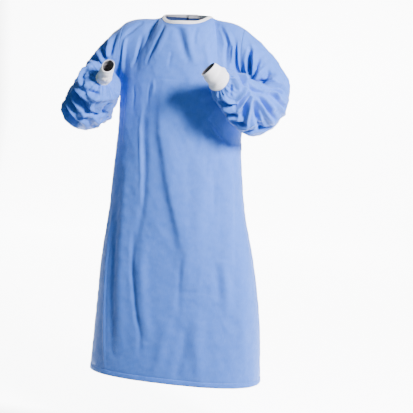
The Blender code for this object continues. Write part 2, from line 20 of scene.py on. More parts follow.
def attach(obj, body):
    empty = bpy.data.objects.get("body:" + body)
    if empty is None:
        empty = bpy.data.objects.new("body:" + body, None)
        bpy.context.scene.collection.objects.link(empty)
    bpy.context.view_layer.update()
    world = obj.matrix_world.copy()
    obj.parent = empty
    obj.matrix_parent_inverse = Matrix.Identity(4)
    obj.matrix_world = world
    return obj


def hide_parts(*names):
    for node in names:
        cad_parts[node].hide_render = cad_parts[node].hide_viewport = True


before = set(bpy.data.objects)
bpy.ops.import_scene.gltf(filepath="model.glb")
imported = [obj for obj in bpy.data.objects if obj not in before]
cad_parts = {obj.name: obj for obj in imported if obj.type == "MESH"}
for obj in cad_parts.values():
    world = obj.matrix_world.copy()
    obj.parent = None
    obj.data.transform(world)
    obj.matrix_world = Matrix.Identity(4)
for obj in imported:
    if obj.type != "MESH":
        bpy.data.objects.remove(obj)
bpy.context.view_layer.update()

log = logging.getLogger("gown")

Points = np.ndarray
Colour = tuple[float, float, float, float]

SEAM = 0.0002           # room between two pieces at a seam
CLOTH = 0.0007          # thickness of the blue nonwoven
AROUND = 208            # points round a sleeve
ARMHOLE_ROWS = AROUND // 2
NEAR = 1e-9             # room for rounding
UP = np.array([0.0, 0.0, 1.0])
BACKWARDS = np.array([0.0, 1.0, 0.0])
BLUE = "blue_nonwoven"  # the frame's material slots
KNITTED = "white_knit"
BOUND = "white_binding"
BLACK = (0.0, 0.0, 0.0, 1.0)
WHITE = (1.0, 1.0, 1.0, 1.0)


class Facing(Enum):
    """Which half of the body a panel covers."""

    FRONT = 1
    BACK = -1


class Side(Enum):
    """The wearer's side on which a piece lies."""

    LEFT = 1
    RIGHT = -1


class Profile(Enum):
    """How a crease looks across its run."""

    SOFT = "soft"
    SHARP = "sharp"


def unit(vectors: Points) -> Points:
    """The vector, or each row of an array of vectors, at length 1."""
    vectors = np.asarray(vectors, float)
    return vectors / np.maximum(np.linalg.norm(vectors, axis=-1, keepdims=True), 1e-12)


def ease(value: Points) -> Points:
    """A smooth step from 0 to 1."""
    value = np.clip(value, 0.0, 1.0)
    return value * value * (3.0 - 2.0 * value)


def bell(value: Points) -> Points:
    """A soft hump of height 1, gone beyond about 1.5."""
    return np.exp(-1.6 * np.asarray(value) ** 2)


def bezier(a: Points, b: Points, c: Points, d: Points, t: Points) -> Points:
    """Points at t, 0 to 1, of a cubic curve from a to d with the handles b and c."""
    t = np.asarray(t)[..., None]
    return (1 - t) ** 3 * a + 3 * (1 - t) ** 2 * t * b + 3 * (1 - t) * t**2 * c + t**3 * d


def column(table: Sequence[Any], key: str, name: str, where: Points) -> Points:
    """One column of a table, read as a smooth curve along its key column.

    Args:
        table: Rows with named columns.
        key: The column that the others are read along.
        name: The column to read.
        where: Values of the key column.

    Returns:
        The column's values there.
    """
    knots = np.array([getattr(row, key) for row in table], float)
    values = np.array([getattr(row, name) for row in table], float)
    rises = np.diff(values) / np.diff(knots)
    slopes = np.concatenate([rises[:1], (rises[1:] + rises[:-1]) / 2, rises[-1:]])
    turns = np.concatenate([[False], rises[1:] * rises[:-1] <= 0, [False]])
    slopes[turns] = 0.0
    where = np.clip(where, knots[0], knots[-1])
    row = np.clip(np.searchsorted(knots, where, side="right") - 1, 0, len(knots) - 2)
    span = knots[row + 1] - knots[row]
    t = (where - knots[row]) / span
    return ((2 * t**3 - 3 * t**2 + 1) * values[row]
            + (t**3 - 2 * t**2 + t) * span * slopes[row]
            + (3 * t**2 - 2 * t**3) * values[row + 1]
            + (t**3 - t**2) * span * slopes[row + 1])


def grid_normals(grid: Points, wrap: bool = False) -> Points:
    """The normals of a grid of points.

    Args:
        grid: Rows down the cloth, columns across it.
        wrap: Whether the last column meets the first.

    Returns:
        One normal for each point.
    """
    if wrap:
        along = np.roll(grid, -1, axis=1) - np.roll(grid, 1, axis=1)
    else:
        along = np.gradient(grid, axis=1)
    return unit(np.cross(np.gradient(grid, axis=0), along))


def steps(start: float, end: float, count: int) -> list[float]:
    """Evenly spaced values from start to end, both included."""
    return list(np.linspace(start, end, count + 1))


def all_round(count: int) -> Points:
    """Evenly spaced angles of one whole turn, in radians."""
    return np.arange(count) * 2 * math.pi / count


def distances(line: Points) -> Points:
    """How far along a line each of its points lies."""
    return np.concatenate([[0], np.cumsum(np.linalg.norm(np.diff(line, axis=0), axis=1))])


def read_along(values: Points, places: Points, knots: Points) -> Points:
    """Vectors read between the knots of a list of vectors."""
    return np.stack([np.interp(values, places, knots[:, k]) for k in range(3)], axis=-1)


def new_piece(name: str, mesh: bpy.types.Mesh, material: bpy.types.Material) -> bpy.types.Object:
    """Make a mesh smooth and put it in the scene.

    Args:
        name: The object's name.
        mesh: Its mesh.
        material: Its only material.

    Returns:
        The object.
    """
    mesh.shade_smooth()
    mesh.materials.append(material)
    piece = bpy.data.objects.new(name, mesh)
    bpy.context.scene.collection.objects.link(piece)
    return piece


@dataclass(frozen=True)
class Crease:
    """One crease or fold, as a line on the cloth.

    Points with two numbers are x and z, seen along Y. Points with three lie on the cloth.
    A sleeve's creases are given in its own coordinates and traced onto it first.
    """

    width: float
    height: float
    points: tuple[tuple[float, ...], ...]
    profile: Profile = Profile.SHARP
    lean: float = 0.0

    def lift(self, points: Points) -> Points:
        """How far the crease lifts the cloth.

        Args:
            points: Points of the cloth.

        Returns:
            One height for each point.
        """
        flat = len(self.points[0]) == 2
        places = points[..., [0, 2]] if flat else points
        knots = np.array(self.points)
        runs = np.diff(knots, axis=0)
        lengths = np.linalg.norm(runs, axis=1)
        total = lengths.sum()
        nearest = np.full(points.shape[:-1], 1e9)
        travelled = np.zeros(points.shape[:-1])
        side = np.zeros(points.shape[:-1])
        done = 0.0
        for knot, run, length in zip(knots, runs, lengths):
            along = np.clip((places - knot) @ run / length**2, 0, 1)
            offset = places - knot - along[..., None] * run
            distance = np.linalg.norm(offset, axis=-1)
            closer = distance < nearest
            nearest = np.where(closer, distance, nearest)
            travelled = np.where(closer, (done + along * length) / total, travelled)
            if self.lean:
                turned = run[0] * offset[..., 1] - run[1] * offset[..., 0]
                side = np.where(closer, np.sign(turned), side)
            done += length
        across = nearest / (self.width * (1 + self.lean * side))
        if self.profile is Profile.SHARP:
            shape = np.clip(1.10 - np.sqrt(across**2 + 0.010), 0, None)
        else:
            shape = bell(across)
        taper = np.sin(math.pi * np.clip(travelled, 0, 1)) ** 0.55
        return self.height * shape * taper


def smooth_line(points: Points, pieces: int = 5, rounds: int = 3) -> Points:
    """A line near the same points with rounded corners.

    Args:
        points: The line's corners.
        pieces: How many pieces each run is cut into.
        rounds: How often the corners are cut off.

    Returns:
        The finer line.
    """
    knots = np.arange(len(points), dtype=float)
    fine = np.linspace(0, len(points) - 1, (len(points) - 1) * pieces + 1)
    line = np.stack([np.interp(fine, knots, points[:, k]) for k in range(points.shape[1])], axis=-1)
    for _ in range(rounds):
        line[1:-1] = (line[:-2] + line[1:-1] * 2 + line[2:]) / 4
    return line


def spots_on(grid: Points, row: Points, column: Points) -> Points:
    """Points between the rows and columns of a grid that is closed round.

    Args:
        grid: The grid.
        row: Places in the order of its rows.
        column: Places in the order of its columns.

    Returns:
        The points.
    """
    around = grid.shape[1]
    upper, left = np.floor(row).astype(int), np.floor(column).astype(int)
    lower = np.minimum(upper + 1, len(grid) - 1)
    down, across = (row - upper)[:, None], (column - left)[:, None]
    near = grid[upper, left % around] * (1 - down) + grid[lower, left % around] * down
    far = grid[upper, (left + 1) % around] * (1 - down) + grid[lower, (left + 1) % around] * down
    return near * (1 - across) + far * across


def lifted(creases: Iterable[Crease], points: Points) -> Points:
    """The height of several creases together at each point of a cloth."""
    return sum((crease.lift(points) for crease in creases), np.zeros(points.shape[:-1]))


@dataclass(frozen=True)
class Crumple:
    """The shallow random unevenness of a cloth that was packed flat and put on."""

    size: float = 0.055
    height: float = 0.0011
    seed: int = 3
    waves: int = 22
    spread: tuple[float, float] = (0.45, 1.9)
    wander: float = 3.1
    sway: float = 1.4
    level: float = 0.36
    gain: float = 4.0

    def lift(self, points: Points) -> Points:
        """How far it lifts the cloth.

        Args:
            points: Points of the cloth.

        Returns:
            One height for each point.
        """
        random = np.random.default_rng(self.seed)
        total = np.zeros(points.shape[:-1])
        for _ in range(self.waves):
            size = self.size * random.uniform(*self.spread)
            way = unit(random.normal(size=3)) * 2 * math.pi / size
            bend = unit(random.normal(size=3)) * 2 * math.pi / (self.wander * size)
            phase = random.uniform(0, 2 * math.pi, 2)
            bent = self.sway * np.sin(points @ bend + phase[1])
            wave = np.sin(points @ way + phase[0] + bent)
            total += (1 - np.abs(wave)) * size / self.size
        return self.height * (total / self.waves - self.level) * self.gain


class Wire:
    """A socket of a shader graph that takes part in Python arithmetic."""

    def __init__(self, graph: "Graph", socket: bpy.types.NodeSocket) -> None:
        """Keep the graph and the socket."""
        self.graph = graph
        self.socket = socket

    def math(self, operation: str, *others: "Wire | float") -> "Wire":
        """One Math node on this value and others."""
        sockets = dict(enumerate((self, *others)))
        return self.graph.node("ShaderNodeMath", {"operation": operation}, sockets).out()

    def __add__(self, other: "Wire | float") -> "Wire":
        """The sum."""
        return self.math("ADD", other)

    __radd__ = __add__

    def __sub__(self, other: "Wire | float") -> "Wire":
        """The difference."""
        return self.math("SUBTRACT", other)

    def __rsub__(self, other: float) -> "Wire":
        """The number minus this value."""
        return (self * -1.0) + other

    def __mul__(self, other: "Wire | float") -> "Wire":
        """The product."""
        return self.math("MULTIPLY", other)

    __rmul__ = __mul__

    def __pow__(self, other: float) -> "Wire":
        """The power."""
        return self.math("POWER", other)

    def sine(self) -> "Wire":
        """The sine."""
        return self.math("SINE")

    def clamp(self, low: float = 0.0, high: float = 1.0) -> "Wire":
        """The value kept between two numbers."""
        return self.math("MAXIMUM", low).math("MINIMUM", high)


@dataclass
class Node:
    """A node of a shader graph with its outputs as wires."""

    graph: "Graph"
    node: bpy.types.Node

    def out(self, name: str | int = 0) -> Wire:
        """One output by its name or place."""
        return Wire(self.graph, self.node.outputs[name])


class Graph:
    """A material's node tree with one Principled shader."""

    def __init__(self, name: str) -> None:
        """Make the material and keep its shader.

        Args:
            name: The material's name.
        """
        self.material = bpy.data.materials.new(name)
        self.material.use_nodes = True
        self.tree = self.material.node_tree
        self.shader = self.tree.nodes["Principled BSDF"]

    def node(self, kind: str, settings: dict[str, Any], sockets: dict[str | int, Any]) -> Node:
        """Add one node.

        Args:
            kind: The node's type.
            settings: Its properties, set first.
            sockets: Values or wires for its inputs, by name or place.

        Returns:
            The node.
        """
        made = self.tree.nodes.new(kind)
        for name, value in settings.items():
            setattr(made, name, value)
        for name, value in sockets.items():
            self.feed(made.inputs[name], value)
        return Node(self, made)

    def feed(self, socket: bpy.types.NodeSocket, value: Any) -> None:
        """Link a wire to a socket, or set the socket's value.

        Args:
            socket: The input.
            value: The wire or the value.
        """
        if isinstance(value, Wire):
            self.tree.links.new(value.socket, socket)
        else:
            socket.default_value = value

    def mix(self, share: Wire | float, first: Any, second: Any) -> Wire:
        """Two colours mixed by a share of the second."""
        sockets = {0: share, 6: first, 7: second}
        return self.node("ShaderNodeMix", {"data_type": "RGBA"}, sockets).out(2)

    def noise(self, place: Wire, scale: float, detail: float = 2.0, roughness: float = 0.5) -> Wire:
        """Soft random values from 0 to 1, about a point for each 1 / scale metres."""
        sockets = {"Vector": place, "Scale": scale, "Detail": detail, "Roughness": roughness}
        return self.node("ShaderNodeTexNoise", {}, sockets).out(0)

    def place(self) -> Wire:
        """The piece's own coordinates in metres."""
        return self.node("ShaderNodeTexCoord", {}, {}).out("Object")

    def cut(self) -> tuple[Wire, Wire, Wire, Wire]:
        """The place on the flat cut.

        Returns:
            The place as a vector, across the cloth, down it, and 1 on the inner face.
        """
        read = self.node("ShaderNodeAttribute", {"attribute_name": "cut"}, {}).out("Vector")
        parts = self.node("ShaderNodeSeparateXYZ", {}, {0: read})
        return read, parts.out(0), parts.out(1), parts.out(2)

    def stretch(self, vector: Wire, scale: tuple[float, float, float], turn: float = 0.0) -> Wire:
        """A vector scaled along its axes after a turn about Z, in degrees."""
        sockets = {"Vector": vector, "Rotation": (0.0, 0.0, math.radians(turn)), "Scale": scale}
        return self.node("ShaderNodeMapping", {}, sockets).out()

    def dress(self, **values: Any) -> None:
        """Feed the shader's inputs, their names written with underscores."""
        for name, value in values.items():
            self.feed(self.shader.inputs[name.replace("_", " ")], value)

    def bump(self, height: Wire, depth: float, under: Wire | None = None) -> Wire:
        """Relief for the shader's normal.

        Args:
            height: The relief, from 0 to 1.
            depth: Its whole height in metres.
            under: Relief that this one is laid over.

        Returns:
            The normal.
        """
        sockets: dict[str | int, Any] = {"Height": height, "Distance": depth, "Strength": 1.0}
        if under is not None:
            sockets["Normal"] = under
        return self.node("ShaderNodeBump", {}, sockets).out()


@dataclass(frozen=True)
class Nonwoven:
    """Blue spunbond cloth: cloudy fibres, streaks on the slant and tiny bonded points, with painted shade
    on the inner face.
    """

    name: str = "blue_nonwoven"
    colour: Colour = (0.050, 0.176, 0.665, 1.0)
    pale: Colour = (0.100, 0.236, 0.740, 1.0)
    deep: Colour = (0.029, 0.133, 0.590, 1.0)
    # painted shade: near-black navy for the inner face, standing for the shade inside the gown
    painted_inner_shade: Colour = (0.004, 0.010, 0.040, 1.0)
    roughness: float = 0.72
    bond_pitch: float = 0.0021
    bond_depth: float = 0.00022
    fibre_depth: float = 0.00016

    def make(self) -> bpy.types.Material:
        """Build the material.

        Returns:
            The finished material.
        """
        graph = Graph(self.name)
        cut, across, down, inner = graph.cut()
        clouds = graph.noise(cut, 34.0, 4.0, 0.62)
        streaks = graph.noise(graph.stretch(cut, (300.0, 62.0, 1.0), 24.0), 1.0, 3.0, 0.6)
        fibres = graph.noise(graph.stretch(cut, (1700.0, 520.0, 1.0), -33.0), 1.0, 4.0, 0.7)
        turn = 2 * math.pi / self.bond_pitch
        bonds = (((across + down) * turn).sine() * ((across - down) * turn).sine()).clamp() ** 2.5
        shade = (clouds * 0.45 + streaks * 0.35 + fibres * 0.20 - 0.5) * 2.4 + 0.5
        colour = graph.mix(shade.clamp(), self.deep, self.pale)
        colour = graph.mix(0.45, colour, self.colour)
        colour = graph.mix(bonds * 0.10, colour, self.deep)
        # Painted shade: the inner face is mixed towards near-black navy
        colour = graph.mix(inner * 0.85, colour, self.painted_inner_shade)
        relief = graph.bump(fibres, self.fibre_depth)
        relief = graph.bump(1 - bonds, self.bond_depth, relief)
        graph.dress(Base_Color=colour, Roughness=(fibres - 0.5) * 0.12 + self.roughness, Normal=relief)
        graph.dress(Specular_IOR_Level=0.32, Sheen_Weight=0.22, Sheen_Roughness=0.45,
                    Sheen_Tint=(0.80, 0.86, 1.0, 1.0))
        return graph.material


@dataclass(frozen=True)
class Knit:
    """White cotton knit: loops in fine columns, slightly uneven, with painted shade in the hollows between
    the loops and on the inner face.
    """

    name: str = "white_knit"
    light: Colour = (0.97, 0.98, 1.0, 1.0)
    # painted shade for the hollows between the loops
    shade: Colour = (0.80, 0.83, 0.91, 1.0)
    # painted shade: near black for the inner face, standing for the shade inside the cuff
    painted_inner_shade: Colour = (0.085, 0.075, 0.085, 1.0)
    loop: float = 0.0016

    def make(self) -> bpy.types.Material:
        """Build the material.

        Returns:
            The finished material.
        """
        graph = Graph(self.name)
        cut, across, down, inner = graph.cut()
        turn = 2 * math.pi / self.loop
        wobble = graph.noise(cut, 240.0, 2.0)
        stitches = ((down * turn + (across * turn).sine() * 1.6 + wobble * 3.0).sine() + 1.0) * 0.5
        clouds = graph.noise(cut, 70.0, 3.0)
        # Partly painted shade, partly random tone: the hollows between the loops are darkened, mixed with
        # random clouds
        hollow = ((1 - stitches) * 0.45 + (clouds - 0.5) * 0.5).clamp()
        fuzz = graph.noise(cut, 1600.0, 3.0, 0.7)
        relief = graph.bump(fuzz, 0.00012)
        relief = graph.bump(stitches, 0.00030, relief)
        # Painted shade: the inner face is mixed towards near black
        colour = graph.mix(inner * 0.9, graph.mix(hollow, self.light, self.shade), self.painted_inner_shade)
        graph.dress(Base_Color=colour, Roughness=0.92, Normal=relief)
        graph.dress(Sheen_Weight=0.35, Sheen_Roughness=0.5, Specular_IOR_Level=0.25)
        return graph.material


@dataclass(frozen=True)
class Tape:
    """White binding tape: fine ribs along its length, with painted shade between the ribs and on the inner
    face.
    """

    name: str = "white_binding"
    light: Colour = (0.87, 0.87, 0.885, 1.0)
    # painted shade for the hollows between the ribs
    shade: Colour = (0.62, 0.63, 0.68, 1.0)
    # painted shade: dark grey-blue for the inner face, standing for the shade inside the neckline
    painted_inner_shade: Colour = (0.18, 0.19, 0.24, 1.0)
    rib: float = 0.0013

    def make(self) -> bpy.types.Material:
        """Build the material.

        Returns:
            The finished material.
        """
        graph = Graph(self.name)
        cut, across, down, inner = graph.cut()
        turn = 2 * math.pi / self.rib
        ribs = ((across * turn + graph.noise(cut, 300.0) * 2.0).sine() + 1.0) * 0.5
        clouds = graph.noise(cut, 90.0, 3.0)
        # Partly painted shade, partly random tone: the hollows between the ribs are darkened, mixed with
        # random clouds
        hollow = ((1 - ribs) * 0.35 + (clouds - 0.5) * 0.6).clamp()
        relief = graph.bump(ribs, 0.00018)
        # Painted shade: the inner face is mixed towards dark grey-blue
        colour = graph.mix(inner * 0.6, graph.mix(hollow, self.light, self.shade), self.painted_inner_shade)
        graph.dress(Base_Color=colour, Roughness=0.86, Normal=relief)
        graph.dress(Sheen_Weight=0.25, Sheen_Roughness=0.5, Specular_IOR_Level=0.3)
        return graph.material


@dataclass(frozen=True)
class Thread:
    """Sewing thread with a slight twist."""

    name: str
    light: Colour
    shade: Colour

    def make(self) -> bpy.types.Material:
        """Build the material.

        Returns:
            The finished material.
        """
        graph = Graph(self.name)
        twist = graph.noise(graph.place(), 2400.0, 2.0)
        graph.dress(Base_Color=graph.mix(twist, self.shade, self.light), Roughness=0.55)
        graph.dress(Sheen_Weight=0.3, Normal=graph.bump(twist, 0.0001))
        return graph.material


@dataclass(frozen=True)
class Ring:
    """One ring round the body: its drop below the neck, its middle and its half sizes."""

    drop: float
    middle: float
    ahead: float
    half: float
    front: float
    back: float


@dataclass(frozen=True)
class BodyForm:
    """The hollow form of the gown's body, from neckline and shoulders to the hem."""

    length: float = 1.231
    hem_rise: float = 0.009
    armpit: float = 0.238
    waist: float = 0.425
    neck: float = 0.086
    neck_front: tuple[float, float] = (-0.078, -0.027)
    neck_back: tuple[float, float] = (0.066, -0.003)
    neck_side: tuple[float, float] = (0.0, -0.003)
    lean_middle: float = 0.45
    lean_side: float = 1.8
    boxiness: float = 2.25
    neck_share: float = 0.44
    shoulder_dip: float = 0.030
    shoulder_bow: float = 0.016
    tip_pull: float = 0.40
    turn_room: float = 0.28
    corner_room: float = 0.16
    corner_ease: float = 0.45
    chest_pull: float = 0.080
    chest_climb: float = 0.55
    top_pull: float = 0.055
    rim_pull: float = 0.040
    rim_drop: float = 0.030
    left_tip: tuple[float, float, float] = (0.196, 0.004, -0.038)
    right_tip: tuple[float, float, float] = (-0.216, 0.004, -0.022)
    rings: tuple[Ring, ...] = (
        Ring(0.238, -0.012, 0.000, 0.214, 0.126, 0.108),
        Ring(0.425, -0.021, -0.002, 0.215, 0.128, 0.100),
        Ring(0.520, -0.023, -0.005, 0.224, 0.131, 0.106),
        Ring(0.640, -0.022, -0.008, 0.236, 0.134, 0.110),
        Ring(0.830, -0.016, -0.012, 0.270, 0.138, 0.114),
        Ring(1.020, -0.011, -0.016, 0.292, 0.142, 0.118),
        Ring(1.231, -0.016, -0.018, 0.307, 0.146, 0.122),
    )

    def ring(self, angle: Points, drop: Points) -> Points:
        """Points round the body.

        Args:
            angle: 0 at centre front, 90 degrees at the wearer's left, in radians.
            drop: How far below the side point of the neck.

        Returns:
            The points.
        """
        power = 2.0 / self.boxiness
        across, ahead = np.sin(angle), np.cos(angle)
        x = column(self.rings, "drop", "middle", drop)
        x = x + column(self.rings, "drop", "half", drop) * np.sign(across) * np.abs(across) ** power
        depth = np.where(ahead > 0, column(self.rings, "drop", "front", drop),
                         column(self.rings, "drop", "back", drop))
        y = column(self.rings, "drop", "ahead", drop) - depth * np.sign(ahead) * np.abs(ahead) ** power
        return np.stack([x, y, -drop * np.ones_like(x)], axis=-1)

    def neckline(self, across: Points, facing: Facing) -> tuple[Points, Points]:
        """The neckline and the way in which its binding rises.

        Args:
            across: From -1 at the right side to 1 at the left.
            facing: The front or the back.

        Returns:
            Points of the neckline and the binding's upward directions.
        """
        turn = np.clip(across / self.neck_share, -1, 1) * math.pi / 2
        middle = self.neck_front if facing is Facing.FRONT else self.neck_back
        point = np.stack([
            self.neck * np.sin(turn),
            self.neck_side[0] + (middle[0] - self.neck_side[0]) * np.cos(turn),
            self.neck_side[1] + (middle[1] - self.neck_side[1]) * (1 - np.sin(turn) ** 4),
        ], axis=-1)
        inward = np.stack([-np.sin(turn), facing.value * np.cos(turn), np.zeros_like(turn)], axis=-1)
        lean = self.lean_middle + (self.lean_side - self.lean_middle) * np.sin(turn)[..., None] ** 2
        return point, unit(inward * lean + UP)

    def top_edge(self, across: Points, facing: Facing) -> tuple[Points, Points]:
        """The neckline and shoulder seam, and the way in which the cloth reaches them.

        Args:
            across: From -1 at the right side to 1 at the left.
            facing: The front or the back.

        Returns:
            Points of the edge and the directions of arrival.
        """
        side = np.where(across >= 0, 1.0, -1.0)
        reach = np.abs(across)
        neck, rising = self.neckline(across, facing)
        tip = np.where(side[..., None] > 0, np.array(self.left_tip), np.array(self.right_tip))
        corner, corner_rise = self.neckline(side, facing)
        along = np.clip((reach - self.neck_share) / (1 - self.neck_share), 0, 1)
        dipped = corner - corner_rise * self.shoulder_dip
        bowed = tip - (tip - corner) * self.tip_pull + UP * self.shoulder_bow
        shoulder = bezier(corner, dipped, bowed, tip, along)
        edge = np.where((reach < self.neck_share)[..., None], neck, shoulder)
        past = reach - self.neck_share
        lying = ease((past + self.turn_room) / (2 * self.turn_room))[..., None]
        arriving = unit(rising * (1 - lying) + BACKWARDS * facing.value * lying)
        near_corner = np.exp(-(past / self.corner_room) ** 2)[..., None]
        return edge, arriving * (1 - self.corner_ease * near_corner)

    def point(self, across: Points, down: Points, facing: Facing) -> Points:
        """Points of the plain body.

        Args:
            across: From -1 at the right side to 1 at the left.
            down: 0 at the top edge, 1 at the armholes' bottom, 2 at the hem.
            facing: The front or the back.

        Returns:
            The points.
        """
        across, down = np.broadcast_arrays(np.asarray(across, float), np.asarray(down, float))
        angle = across * math.pi / 2
        if facing is Facing.BACK:
            angle = math.pi - angle
        hem = self.length - self.hem_rise * np.maximum(np.cos(angle), 0) ** 2
        lower = self.ring(angle, self.armpit + (hem - self.armpit) * np.clip(down - 1, 0, 1))
        start = self.ring(angle, np.full_like(across, self.armpit))
        below = self.ring(angle, np.full_like(across, self.armpit + 0.02))
        edge, arriving = self.top_edge(across, facing)
        rim = (np.abs(across) ** 5)[..., None]
        climb = unit(start - below)
        swing = unit(UP * self.chest_climb - BACKWARDS * facing.value)
        first = start + (climb * (1 - rim) + swing * rim) * self.chest_pull
        second = edge - arriving * (self.top_pull + self.rim_pull * rim) - UP * self.rim_drop * rim
        upper = bezier(start, first, second, edge, np.clip(1 - down, 0, 1))
        return np.where((down > 1)[..., None], lower, upper)

    def down_at(self, drop: float) -> float:
        """The value of down at a drop below the armholes."""
        return 1 + (drop - self.armpit) / (self.length - self.armpit)


BODY = BodyForm()


@dataclass(frozen=True)
class Girth:
    """Half sizes of a sleeve at one place along it."""

    at: float
    crook: float
    away: float
    outer: float
    inner: float


@dataclass(frozen=True)
class ArmForm:
    """The hollow form of one bent sleeve and its cuff."""

    side: Side
    shoulder: tuple[float, float, float]
    elbow: tuple[float, float, float]
    wrist: tuple[float, float, float]
    cuff_end: tuple[float, float, float]
    cuff_way: tuple[float, float, float]
    base: tuple[float, float]
    mouth: tuple[float, float]
    girths: tuple[Girth, ...]
    crook: float = 0.058
    bend_end: float = 0.62
    first_ring: float = 0.10

    def directions(self) -> tuple[Points, Points, Points, float, Points]:
        """How the arm bends.

        Returns:
            The upper arm's and forearm's directions, the bend's axis, turn and pivot.
        """
        shoulder, elbow, wrist = (np.array(p) for p in (self.shoulder, self.elbow, self.wrist))
        upper, fore = unit(elbow - shoulder), unit(wrist - elbow)
        axis = unit(np.cross(upper, fore))
        turn = math.acos(upper @ fore)
        pivot = elbow + unit(fore - upper) * self.crook / math.cos(turn / 2)
        return upper, fore, axis, turn, pivot

    def ring(self, at: Points, angle: Points) -> Points:
        """Points of the plain sleeve.

        Args:
            at: From the start of the bend, at 0, to the wrist seam, at 1.
            angle: 0 faces the body, 90 degrees the crook, 180 outwards, in radians.

        Returns:
            The points.
        """
        upper, _, axis, turn, pivot = self.directions()
        at, angle = np.broadcast_arrays(np.asarray(at, float), np.asarray(angle, float))
        swung = (np.clip(at / self.bend_end, 0, 1) * turn)[..., None]
        along = np.cos(swung) * upper + np.sin(swung) * np.cross(axis, upper)
        to_crook = np.cross(axis, along)
        straight = (np.linalg.norm(np.array(self.wrist) - self.elbow)
                    - self.crook * math.tan(turn / 2))
        past = np.clip((at - self.bend_end) / (1 - self.bend_end), 0, 1)
        centre = pivot - self.crook * to_crook + along * (past * straight)[..., None]
        inwards, crookwards = np.cos(angle), np.sin(angle)
        half_in = np.where(inwards > 0, column(self.girths, "at", "inner", at),
                           column(self.girths, "at", "outer", at))
        half_crook = np.where(crookwards > 0, column(self.girths, "at", "crook", at),
                              column(self.girths, "at", "away", at))
        return (centre + self.side.value * axis * (inwards * half_in)[..., None]
                + to_crook * (crookwards * half_crook)[..., None])


LEFT_ARM = ArmForm(
    side=Side.LEFT, shoulder=(0.202, -0.010, -0.115), elbow=(0.266, -0.030, -0.310),
    wrist=(0.169, -0.212, -0.202), cuff_end=(0.137, -0.238, -0.166),
    cuff_way=(-0.58, -0.374, 0.70), base=(0.036, 0.036), mouth=(0.028, 0.028),
    girths=(
        Girth(0.00, 0.052, 0.084, 0.110, 0.022),
        Girth(0.16, 0.046, 0.092, 0.116, 0.030),
        Girth(0.34, 0.044, 0.106, 0.122, 0.048),
        Girth(0.50, 0.044, 0.112, 0.112, 0.056),
        Girth(0.66, 0.046, 0.104, 0.092, 0.056),
        Girth(0.82, 0.048, 0.078, 0.070, 0.054),
        Girth(0.95, 0.043, 0.054, 0.050, 0.046),
        Girth(1.00, 0.036, 0.036, 0.036, 0.036),
    ))
RIGHT_ARM = ArmForm(
    side=Side.RIGHT, shoulder=(-0.220, 0.0, -0.110), elbow=(-0.362, -0.045, -0.336),
    wrist=(-0.220, -0.205, -0.208), cuff_end=(-0.182, -0.258, -0.166),
    cuff_way=(0.435, -0.72, 0.533), base=(0.024, 0.026), mouth=(0.019, 0.026),
    girths=(
        Girth(0.00, 0.052, 0.080, 0.078, 0.060),
        Girth(0.16, 0.048, 0.094, 0.076, 0.070),
        Girth(0.34, 0.046, 0.104, 0.076, 0.088),
        Girth(0.50, 0.046, 0.104, 0.074, 0.086),
        Girth(0.66, 0.046, 0.098, 0.070, 0.078),
        Girth(0.82, 0.050, 0.078, 0.064, 0.064),
        Girth(0.95, 0.044, 0.054, 0.052, 0.048),
        Girth(1.00, 0.026, 0.026, 0.024, 0.024),
    ))


